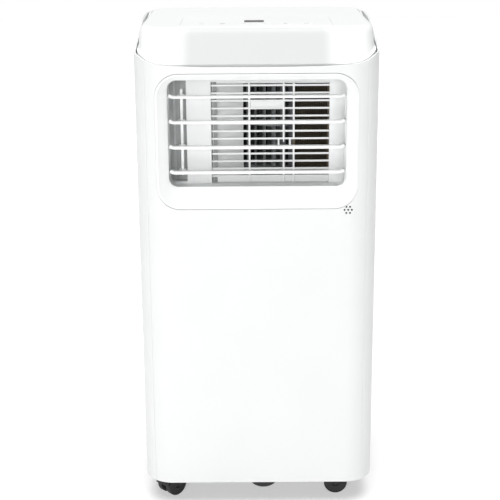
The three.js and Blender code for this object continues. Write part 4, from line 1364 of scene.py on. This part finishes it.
        # a pale bracket between two of the uprights, behind the bars
        plate = slab(rounded(-9.5, 35.5, 554.4, 563.4, 0.8, 4), depth=1.2, edge=0.2)
        plate.moved(lambda p: Vector((p.x, p.y - 88.4, p.z)))
        # a pale lintel shows between the top bar and the window's upper edge
        plate.include(block(-54.0, 97.5, -88.2, -86.9, 586.6, 591.0, 0.3))
        # and the scroll's pale floor fills the lowest row
        plate.include(block(-54.0, 97.5, -88.2, -86.9, WINDOW["bottom"] - 0.6, 460.4, 0.3))
        place_piece("guard_bracket", plate.mesh(), "cabinet", duct)
        return {"FINISHED"}


def spun(profile, steps):
    """A ring round the fans' shaft: the profile is a closed loop of (radius, z) pairs."""
    rings = [[(p.x, p.y, z) for p in disc(SHAFT.x, SHAFT.y, r, steps)] for r, z in profile]
    return Shape().loft(rings, closed=True)


class BuildBlower(bpy.types.Operator):
    """Makes the blower wheel and its scroll behind the grille, and the exhaust fan."""

    bl_idname = "airconditioner.blower"
    bl_label = "Fans"

    def execute(self, context):
        settings = context.scene.ac_outlet
        # polypropylene with carbon black, moulded satin: the wheels
        black = moulded("Polypropylene satin, wheels", linear("77797B"), 0.42, drift=0.1)
        # polystyrene, moulded matt: the inside of the scroll
        duct = moulded("Polystyrene matt, scroll", tuple(settings.duct_colour), 0.5, ior=1.59)
        # a near-black sheet behind the wheel: painted shade inside the scroll
        dark = moulded("Polystyrene matt, dark lining", linear("0C0C0D"), 0.8, relief=0.1)
        # polypropylene, moulded matt, brownish black: the fins
        brown = moulded("Polypropylene matt, fins", linear("665C49"), 0.6, relief=0.1)
        low, high = corner("blower_wheel", 0), corner("blower_wheel", 1)
        radius = (high.x - low.x) / 2
        tree = blade_tree()
        for name, node, count, body in (
            ("blower_blades", "blower_wheel", settings.blower_blades, "fan_rotor"),
            ("exhaust_blades", "exhaust_fan_wheel", 24, "fan_rotor"),
        ):
            a, b = corner(node, 0), corner(node, 1)
            r = (b.x - a.x) / 2
            grow(
                name,
                tree,
                {
                    "Radius": (r - 6.6) * MM, "Chord": 0.0115, "Thickness": 0.0013,
                    "Height": (b.z - a.z - 2) * MM, "Slant": 0.55, "X": SHAFT.x * MM, "Y": SHAFT.y * MM,
                    "Z": (a.z + b.z) / 2 * MM, "Blades": count, "Material": black,
                },
                body, "fan_black", black, [node],
            )  # fmt: skip
        cage = Shape()
        middle = (low.z + high.z) / 2
        for z0, z1 in ((high.z - 3, high.z), (middle - 1.2, middle + 1.2)):
            cage.include(spun([(radius, z0), (radius, z1), (radius - 12, z1), (radius - 12, z0)], 72))
        hub = [(4.3, low.z + 16), (12, low.z + 16), (12, low.z + 6), (18, low.z + 3.4)]
        plate = [(radius - 2, low.z + 2.6), (radius, low.z + 1.6), (radius, low.z), (4.3, low.z)]
        cage.include(spun(hub + plate, 72))
        place_piece("blower_cage", cage.mesh(), "fan_rotor", black)
        a, b = corner("exhaust_fan_wheel", 0), corner("exhaust_fan_wheel", 1)
        fan = Shape()
        hub = [(4.3, b.z - 16), (12, b.z - 16), (12, b.z - 4)]
        fan.include(spun(hub + [(60, b.z - 2.5), (66, b.z - 2.5), (66, b.z), (4.3, b.z)], 64))
        fan.include(spun([(66, a.z), (66, a.z + 3), (54, a.z + 3), (54, a.z)], 64))
        place_piece("exhaust_cage", fan.mesh(), "fan_rotor", black)
        self.scroll(duct, dark, brown)
        return {"FINISHED"}

    def scroll(self, duct, dark, brown):
        """The spiral wall that opens to the grille, with a near-black lining behind the wheel as painted
        shade.
        """
        a, b = corner("blower_case", 0), corner("blower_case", 1)
        start, sweep, tight, wide = math.radians(231.5), math.radians(-226.5), 76.0, 88.0
        spiral = []
        for k in range(73):
            angle, r = start + sweep * k / 72, tight + (wide - tight) * k / 72
            spiral.append(Vector((SHAFT.x + r * math.cos(angle), SHAFT.y + r * math.sin(angle))))
        path = [Vector((-60.0, -88.0)), Vector((-57.5, -82.0))] + spiral + [Vector((99.2, -88.0))]
        wall = Shape()
        inner = []
        for i, p in enumerate(path):
            d = (path[min(i + 1, len(path) - 1)] - path[max(i - 1, 0)]).normalized()
            inner.append(p + Vector((d.y, -d.x)) * 1.8)
        section = path + list(reversed(inner))
        wall.loft([[(p.x, p.y, a.z + 2) for p in section], [(p.x, p.y, b.z - 2) for p in section]])
        place_piece("scroll_wall", wall.mesh(), "cabinet", duct, ["blower_case"], 40)
        # floor and roof of the scroll, each with the round mouth that the wheel breathes through
        for name, z, hole in (("scroll_floor", a.z, 50.0), ("scroll_roof", b.z - 2.0, 52.0)):
            plate = slab(path, [disc(SHAFT.x, SHAFT.y, hole, 64)], depth=2.0)
            plate.moved(lambda p: Vector((p.x, p.z, z + 2.0 - p.y)))
            place_piece(name, plate.mesh(), "cabinet", duct)
        # close dark fins that guard the wheel's far side
        tree = bar_tree()
        fins = grow(
            "wheel_fins", tree,
            {
                "Length": 0.128, "Height": 0.0012, "Depth": 0.006, "Edge": 0.0002, "Pitch": 0.0031,
                "Column pitch": 0.0, "X": 0.0, "Y": 0.0, "Z": 0.0, "Rows": 15, "Columns": 1,
                "Material": brown,
            },
            "cabinet", "cap_grey", brown,
        )  # fmt: skip
        turn = Matrix.Translation((0.0515, -0.0835, 0.5245)) @ Matrix.Rotation(math.pi / 2, 4, "Y")
        fins.data.transform(turn)
        # painted shade: a near-black sheet behind the wheel, where the scroll is in shadow
        lining = block(-8, 97, 74.5, 76.5, a.z + 4, b.z - 4, 0.3)
        place_piece("dark_lining", lining.mesh(), "cabinet", dark)


class BuildCasters(bpy.types.Operator):
    """Makes the hooded twin-wheel casters and the drain cap under the base."""

    bl_idname = "airconditioner.casters"
    bl_label = "Casters and drain cap"

    def execute(self, context):
        settings = context.scene.ac_gear
        # polyamide, moulded satin black: hoods and wheels
        black = moulded("Polyamide satin, hoods", tuple(settings.caster_colour), 0.36, drift=0.08, ior=1.53)
        tyre = moulded("Polyamide matt, wheels", tuple(settings.caster_colour), 0.5, drift=0.12, ior=1.53)
        # polypropylene, moulded matt dark grey: drain cap
        grey = moulded("Polypropylene matt, cap", linear("161618"), 0.48, ior=1.49)
        joints = {joint["name"]: joint for joint in frame["joints"]}
        for tag in ("front_left", "front_right", "rear_left", "rear_right"):
            swivel = Vector(joints[f"caster_{tag}_swivel"]["pos_m"]) / MM
            axle = Vector(joints[f"wheels_{tag}_roll"]["pos_m"]) / MM
            heading = math.atan2(axle.y - swivel.y, axle.x - swivel.x)
            trail = (Vector((axle.x, axle.y)) - Vector((swivel.x, swivel.y))).length
            turn = Matrix.Translation((swivel.x, swivel.y, 0)) @ Matrix.Rotation(heading, 4, "Z")
            caster, wheels = f"caster_{tag}", f"wheels_{tag}"
            hood = self.hood(trail, axle.z)
            hood.moved(lambda p: turn @ p)
            place_piece(f"hood_{tag}", hood.mesh(), caster, black, [caster], 40)
            roller = self.wheels(trail, axle.z, settings.tread_depth / MM)
            roller.moved(lambda p: turn @ p)
            place_piece(f"roller_{tag}", roller.mesh(), wheels, tyre, [wheels], 40)
        low, high = corner("sump_drain_cap", 0), corner("sump_drain_cap", 1)
        x, y, r = (low.x + high.x) / 2, (low.y + high.y) / 2, (high.x - low.x) / 2
        profile = [(0.3, 17.6), (5, 17.2), (11, 17.6), (14.6, 18.8), (17, 20.6), (r - 0.3, 22.6), (r, 24.4)]
        profile += [(r, 31.6), (r - 0.5, 32.1), (10.5, 32.2), (10.5, 43.4), (10, 44.0), (0.3, 44.0)]
        cap = turned(profile, x, y, 60)
        cap.include(block(x - 11, x + 11, y - 1.8, y + 1.8, 15.0, 20.0, 1.2))
        place_piece("drain_cap", cap.mesh(), "sump_drain_cap", grey, ["sump_drain_cap"], 40)
        return {"FINISHED"}

    def hood(self, trail, height):
        """The caster's body about its swivel: a curved hood between and over the wheels, and the stem."""
        shape = Shape()
        turns = [math.radians(8 + 164 * k / 28) for k in range(29)]
        radius, thickness, half_width = 19.9, 2.0, 12.6
        skins = [
            [Vector((trail + r * math.cos(a), height + r * math.sin(a))) for a in turns]
            for r in (radius, radius - thickness)
        ]
        loop = skins[0] + list(reversed(skins[1]))
        softened = half_width - 0.5
        rings = []
        for y, shrink in ((-half_width, 0.5), (-softened, 0.0), (softened, 0.0), (half_width, 0.5)):
            rings.append([(p.x, y, min(p.y, 38.5)) for p in inset(loop, shrink)])
        shape.include(Shape().loft(rings))
        web = [(-9, 35.5), (-9.5, 26)]
        cradle = ((-12, 2), (-9, -5), (-4, -8.5), (4, -8.5), (9, -5), (12, 2))
        web += [(trail + x, height + z) for x, z in cradle]
        web.append((trail + 12, 33.5))
        bore = disc(trail, height, 3.1, 24)
        plate = slab([Vector(p) for p in web], [bore], depth=8.0, edge=0.8, back_edge=0.8)
        shape.include(plate.moved(lambda p: Vector((p.x, p.y - 4.0, p.z))))
        shape.include(turned([(11.6, 33.6), (12, 34), (12, 36.6), (11.6, 37.0)], 0, 0, 40))
        shape.include(turned([(4.0, 34), (4.0, 55.6), (3.4, 56.6)], 0, 0, 24))
        return shape

    def wheels(self, trail, height, tread):
        """Two wheels with rounded treads and dished faces on one axle."""
        shape = Shape()
        radius = height
        width, bevel = 8.4, tread * 0.3
        profile = [(2.4, 1.6), (5.0, 1.6), (6.0, 0.6), (7.5, 0.5), (radius - 4.4, 0.5), (radius - 3.6, 0.0)]
        profile += [(radius - tread, 0.0), (radius - bevel, bevel), (radius, tread), (radius, width - tread)]
        profile += [(radius - bevel, width - bevel), (radius - tread, width), (2.4, width)]
        for side in (-1, 1):
            wheel = turned(profile, 0, 0, 72)
            wheel.moved(lambda p: Vector((trail + p.x, side * (12.9 - p.z), height + p.y)))
            shape.include(wheel)
        axle = turned([(2.45, -7.0), (2.45, 7.0)], 0, 0, 24)
        shape.include(axle.moved(lambda p: Vector((trail + p.x, p.z, height + p.y))))
        return shape


class BuildRear(bpy.types.Operator):
    """Makes the filters, the hose port with its guard, the drain plugs and the screws of the rear."""

    bl_idname = "airconditioner.rear"
    bl_label = "Rear fittings"

    def execute(self, context):
        trim = tuple(context.scene.ac_outlet.trim_colour)
        # ABS, moulded satin white
        white = moulded("ABS satin, rear trim", trim, 0.36)
        net = woven_filter(linear("6F7375"))
        # ethylene rubber: matt black, slightly dusty
        rubber = moulded(
            "Rubber, plugs", linear("2B2C2E"), 0.72, grain_mm=0.8, relief=0.4, drift=0.15, ior=1.52
        )
        tree = bar_tree()
        for name in ("upper", "lower"):
            low, high = corner(f"{name}_filter_frame", 0), corner(f"{name}_filter_frame", 1)
            border, pitch = 11.0, 12.0
            rows = int((high.z - low.z - 2 * border) // pitch)
            first = (low.z + high.z - (rows - 1) * pitch) / 2
            inside = high.x - border
            top, bottom = first + (rows - 1) * pitch + 3.5, first - 3.5
            holes = [rounded(-inside, -4, bottom, top, 2, 5), rounded(4, inside, bottom, top, 2, 5)]
            holes.append(rounded(-18, 18, high.z - 8, high.z - 2.4, 2.6, 5))
            plate = slab(around(low, high, 0, 5.6, 8, up="z"), holes, depth=7.0, edge=0.8)
            plate.moved(lambda p: Vector((p.x, high.y - p.y, p.z)))
            place_piece(f"{name}_frame", plate.mesh(), f"{name}_filter", white,
                        [f"{name}_filter_frame"])  # fmt: skip
            grow(
                f"{name}_slats", tree,
                {
                    "Length": (inside - 4 + 1) * MM, "Height": 0.005, "Depth": 0.0046, "Edge": 0.0012,
                    "Pitch": pitch * MM, "Column pitch": (inside + 4) * MM, "X": -(inside + 4) / 2 * MM,
                    "Y": (high.y - 3.2) * MM, "Z": (first + pitch / 2) * MM, "Rows": rows - 1, "Columns": 2,
                    "Material": white,
                },
                f"{name}_filter", "trim_white", white,
            )  # fmt: skip
            dress(f"{name}_filter_cloth", net)
        low, high = corner("exhaust_collar", 0), corner("exhaust_collar", 1)
        z, radius = (low.z + high.z) / 2, (high.x - low.x) / 2
        bore = radius - 4.6
        within = [(bore, low.y), (bore, high.y - 1.2), (bore + 0.4, high.y - 0.3), (bore + 1.2, high.y)]
        outside = [(radius - 1.2, high.y), (radius - 0.3, high.y - 0.4), (radius, high.y - 1.2)]
        outside.append((radius, low.y))
        rings = [[(p.x, y, p.y) for p in disc(0, z, r, 96)] for r, y in within + outside]
        collar = Shape().loft(rings, closed=True)
        for degrees in (45, 135, 225, 315):
            lug = block(bore - 3.4, bore + 1.0, high.y - 7.5, high.y - 4.5, -8, 8, 0.6)
            spin = Matrix.Rotation(math.radians(degrees), 3, "Y")
            collar.include(lug.moved(lambda p: spin @ p + Vector((0, 0, z))))
        hoops = [(bore + 0.5, bore - 4.0), (46.0, 43.6), (24.0, 21.6)]
        near, far = low.y + 1, low.y + 4
        for wide, narrow in hoops:
            square = ((wide, near), (wide, far), (narrow, far), (narrow, near))
            rings = [[(p.x, y, p.y) for p in disc(0, z, r, 72)] for r, y in square]
            collar.include(Shape().loft(rings, closed=True))
        for k in range(8):
            spoke = block(3.0, bore - 2.0, low.y + 1.2, low.y + 3.8, -1.2, 1.2, 0.4)
            spin = Matrix.Rotation(math.radians(45 * k), 3, "Y")
            collar.include(spoke.moved(lambda p: spin @ p + Vector((0, 0, z))))
        hub = [[(p.x, y, p.y) for p in disc(0, z, r, 40)] for r, y in (
            (8.5, low.y + 1), (9, low.y + 1.4), (9, low.y + 3.6), (8.5, low.y + 4))]  # fmt: skip
        collar.include(Shape().loft(hub))
        place_piece("hose_port", collar.mesh(), "cabinet", white, ["exhaust_collar"], 40)
        for name in ("middle_drain_plug", "lower_drain_plug"):
            low, high = corner(name, 0), corner(name, 1)
            x, z, r = (low.x + high.x) / 2, (low.z + high.z) / 2, (high.x - low.x) / 2
            profile = [(r - 1.2, low.y), (r - 0.8, low.y + 1), (r - 0.8, high.y - 3.2), (r, high.y - 2.8),
                       (r, high.y - 1.4), (r - 0.6, high.y - 0.9), (0.2, high.y - 0.8)]  # fmt: skip
            rings = [[(p.x, y, p.y) for p in disc(x, z, q, 40)] for q, y in profile]
            plug = Shape().loft(rings)
            plug.include(block(x - 1.4, x + 1.4, high.y - 1.2, high.y, z - r + 2, z + r - 2, 0.5))
            place_piece(f"{name}_soft", plug.mesh(), name, rubber, [name], 40)
        self.screws()
        return {"FINISHED"}

    def screws(self):
        """Cross-head screws of the rear shell, grown at its fixing points."""
        # zinc-plated steel: pale and bright
        zinc = metal("Steel zinc-plated, screws", linear("B9BCC0"), 0.3)
        tree = open_tree("Screws at points", ("Head", "Rise"))[0]
        tree.interface.new_socket("Points", in_out="INPUT", socket_type="NodeSocketObject")
        given = [n for n in tree.nodes if n.bl_idname == "NodeGroupInput"][0].outputs
        spots = add_node(tree, "GeometryNodeObjectInfo", inputs={"Object": given["Points"]})
        head = add_node(
            tree,
            "GeometryNodeMeshCylinder",
            inputs={"Vertices": 28, "Radius": given["Head"], "Depth": given["Rise"]},
        )
        size = add_node(tree, "ShaderNodeCombineXYZ", inputs={"X": 0.0044, "Y": 0.0009, "Z": 0.0012})
        slot = add_node(tree, "GeometryNodeMeshCube", inputs={"Size": size.outputs[0]})
        lifted = add_node(
            tree,
            "GeometryNodeTransform",
            inputs={"Geometry": slot.outputs[0], "Translation": (0, 0, 0.0008)},
        )
        crossed = add_node(
            tree,
            "GeometryNodeTransform",
            inputs={"Geometry": lifted.outputs[0], "Rotation": (0, 0, math.pi / 2)},
        )
        cut = add_node(tree, "GeometryNodeMeshBoolean", {"operation": "DIFFERENCE"})
        tree.links.new(head.outputs["Mesh"], cut.inputs[0])
        tree.links.new(lifted.outputs[0], cut.inputs[1])
        tree.links.new(crossed.outputs[0], cut.inputs[1])
        screws = add_node(
            tree,
            "GeometryNodeInstanceOnPoints",
            inputs={
                "Points": spots.outputs["Geometry"],
                "Instance": cut.outputs["Mesh"],
                "Rotation": (-math.pi / 2, 0.4, 0),
            },
        )
        close_tree(tree, screws.outputs[0], given)
        points = bpy.data.meshes.new("fixing_points")
        places = [(x, REAR - 0.75, z) for x in (-115.5, 115.5) for z in (120, 240, 366, 500, 628)]
        points.from_pydata([tuple(v * MM for v in p) for p in places], [], [])
        holder = bpy.data.objects.new("fixing_points", points)
        bpy.context.scene.collection.objects.link(holder)
        grow(
            "rear_screws", tree, {"Head": 0.0032, "Rise": 0.0014, "Points": holder, "Material": zinc},
            "cabinet", "shaft_steel", zinc,
        )  # fmt: skip
        bpy.data.objects.remove(holder)


def dress(node, material):
    """Gives a frame node its finished material."""
    obj = frame["nodes"][node]
    obj.data.materials.clear()
    obj.data.materials.append(material)


class DressMachinery(bpy.types.Operator):
    """Gives the cooling circuit, deck, base and control parts their finished materials."""

    bl_idname = "airconditioner.machinery"
    bl_label = "Machinery finishes"

    def execute(self, context):
        # black stove enamel on drawn steel
        black = enamel("Enamel black, compressor", linear("202225"))
        # phosphor-deoxidised copper tube, drawn and dulled
        copper = metal("Copper drawn, pipes", linear("B4693C"), 0.34)
        # aluminium fin stock: bright fins at 2 mm spacing, with painted shade between them
        fins = self.fins()
        # ground steel
        steel = metal("Steel ground, shaft", linear("C2C4C6"), 0.28, (1, 1, 60))
        grey = moulded("Polypropylene matt, deck", linear("C9CBCC"), 0.6, ior=1.49)
        dark = moulded("Polypropylene matt, base", linear("4A4C4F"), 0.55, ior=1.49)
        rubber = moulded("Rubber, feet", linear("2B2C2E"), 0.75, grain_mm=0.8, relief=0.4, drift=0.15)
        duct = moulded("Polystyrene matt, exhaust case", linear("E9EBEC"), 0.5, ior=1.59)
        gland = moulded("Polyamide satin, gland", linear("1D1E20"), 0.4, ior=1.53)
        finishes = {
            black: ("compressor", "accumulator", "fan_motor"),
            copper: ("suction_pipe", "discharge_pipe"),
            fins: ("evaporator", "condenser"),
            steel: ("fan_shaft",),
            grey: ("middle_deck", "control_box"),
            dark: ("base_pan", "room_sensor"),
            rubber: ("compressor_foot_1", "compressor_foot_2", "compressor_foot_3"),
            duct: ("exhaust_fan_case",),
            gland: ("cord_gland",),
            soldered_board(linear("2F6B3F")): ("display_board",),
        }
        for material, nodes in finishes.items():
            for node in nodes:
                dress(node, material)
        return {"FINISHED"}

    def fins(self):
        """Aluminium, rolled: a stack of thin upright fins 2 mm apart, with painted shade between them."""
        made, tree, place = new_material("Aluminium rolled, fins")
        rows = add_node(
            tree,
            "ShaderNodeTexWave",
            {"bands_direction": "X"},
            {"Vector": place, "Scale": 1000 / 2.0 / 6.2832 * 2, "Distortion": 0.0},
        )
        # painted shade: the dark bands stand for the shadowed gaps between fins
        tone = add_node(
            tree,
            "ShaderNodeValToRGB",
            inputs={"Fac": rows.outputs["Fac"]},
            stops=[(0.3, linear("3A3C3E")), (0.7, linear("B9BDC0"))],
        )
        bump = add_node(
            tree,
            "ShaderNodeBump",
            inputs={"Height": rows.outputs["Fac"], "Strength": 0.8, "Distance": 0.0006},
        )
        surface(
            tree,
            Base_Color=tone.outputs["Color"],
            Metallic=0.9,
            Roughness=0.4,
            Normal=bump.outputs["Normal"],
        )
        return made


class BuildStage(bpy.types.Operator):
    """Makes the pale floor, the soft studio light and the camera."""

    bl_idname = "airconditioner.stage"
    bl_label = "Stage"

    def execute(self, context):
        settings = context.scene.ac_stage
        scene = context.scene
        scene.view_settings.view_transform = "Standard"
        mesh = bpy.data.meshes.new("floor")
        reach = 6.0
        corners = [(x * reach, y * reach, 0) for x, y in ((-1, -1), (1, -1), (1, 1), (-1, 1))]
        mesh.from_pydata(corners, [], [(0, 1, 2, 3)])
        floor = bpy.data.objects.new("floor", mesh)
        scene.collection.objects.link(floor)
        mesh.materials.append(studio_floor())
        world = bpy.data.worlds.new("Studio")
        scene.world = world
        world.use_nodes = True
        tree = world.node_tree
        tree.nodes.clear()
        # the backdrop is plain white; the light that it gives is softer in front than behind
        way = add_node(tree, "ShaderNodeTexCoord").outputs["Generated"]
        axes = add_node(tree, "ShaderNodeSeparateXYZ", inputs={"Vector": way})
        front = add_node(
            tree,
            "ShaderNodeMapRange",
            {"interpolation_type": "SMOOTHSTEP"},
            {
                "Value": axes.outputs["Y"],
                "From Min": 0.35,
                "From Max": 0.9,
                "To Min": settings.surround,
                "To Max": settings.surround * 2.5,
            },
        )
        ray = add_node(tree, "ShaderNodeLightPath")
        strength = add_node(
            tree,
            "ShaderNodeMapRange",
            inputs={
                "Value": ray.outputs["Is Camera Ray"],
                "To Min": front.outputs["Result"],
                "To Max": 1.0,
            },
        )
        sky = add_node(
            tree, "ShaderNodeBackground", inputs={"Color": (1, 1, 1, 1), "Strength": strength.outputs[0]}
        )
        add_node(tree, "ShaderNodeOutputWorld", inputs={"Surface": sky.outputs[0]})
        aim, spot = Vector((0, 0, 0.38)), Vector((-0.72, -3.0, 0.9))
        lamp = bpy.data.lights.new("front_light", "AREA")
        lamp.shape = "SQUARE"
        lamp.size = 1.0
        lamp.energy = settings.key_power
        light = bpy.data.objects.new("front_light", lamp)
        facing = (aim - spot).to_track_quat("-Z", "Y").to_matrix().to_4x4()
        light.matrix_world = Matrix.Translation(spot) @ facing
        scene.collection.objects.link(light)
        above = bpy.data.lights.new("overhead_light", "SUN")
        above.energy = settings.overhead
        above.angle = math.radians(60)
        sun = bpy.data.objects.new("overhead_light", above)
        sun.matrix_world = Matrix.Translation((0, 0, 2))
        scene.collection.objects.link(sun)
        lens = bpy.data.cameras.new("camera")
        lens.sensor_width = 36
        lens.lens = 89.496
        camera = bpy.data.objects.new("camera", lens)
        pitch, roll = 0.29185, -0.00685
        turn = Matrix.Rotation(math.pi / 2 - pitch, 4, "X") @ Matrix.Rotation(roll, 4, "Z")
        camera.matrix_world = Matrix.Translation((-0.01027, -1.735, 0.85)) @ turn
        scene.collection.objects.link(camera)
        scene.camera = camera
        return {"FINISHED"}


OPERATORS = (
    BuildStage, BuildShells, BuildCover, BuildControls, BuildBezel, BuildLouvres, BuildDuct, BuildBlower,
    BuildCasters, BuildRear, DressMachinery,
)  # fmt: skip
GROUPS = {
    "ac_cabinet": CabinetSettings,
    "ac_outlet": OutletSettings,
    "ac_controls": ControlSettings,
    "ac_gear": RunningGearSettings,
    "ac_stage": StageSettings,
}


class AirConditionerPanel(bpy.types.Panel):
    """Lists every step of the build in the 3D view's sidebar."""

    bl_idname = "VIEW3D_PT_air_conditioner"
    bl_label = "Portable air conditioner"
    bl_space_type = "VIEW_3D"
    bl_region_type = "UI"
    bl_category = "Air conditioner"

    def draw(self, context):
        for operator in OPERATORS:
            self.layout.operator(operator.bl_idname)
        for name in GROUPS:
            box = self.layout.box()
            settings = getattr(context.scene, name)
            for key in settings.__annotations__:
                box.prop(settings, key)


def register():
    for group in GROUPS.values():
        bpy.utils.register_class(group)
    for operator in OPERATORS:
        bpy.utils.register_class(operator)
    bpy.utils.register_class(AirConditionerPanel)
    for name, group in GROUPS.items():
        setattr(bpy.types.Scene, name, PointerProperty(type=group))


def unregister():
    for name in GROUPS:
        delattr(bpy.types.Scene, name)
    bpy.utils.unregister_class(AirConditionerPanel)
    for operator in reversed(OPERATORS):
        bpy.utils.unregister_class(operator)
    for group in reversed(list(GROUPS.values())):
        bpy.utils.unregister_class(group)


def main():
    register()
    for operator in OPERATORS:
        family, action = operator.bl_idname.split(".")
        getattr(getattr(bpy.ops, family), action)()


if __name__ == "__main__":
    main()
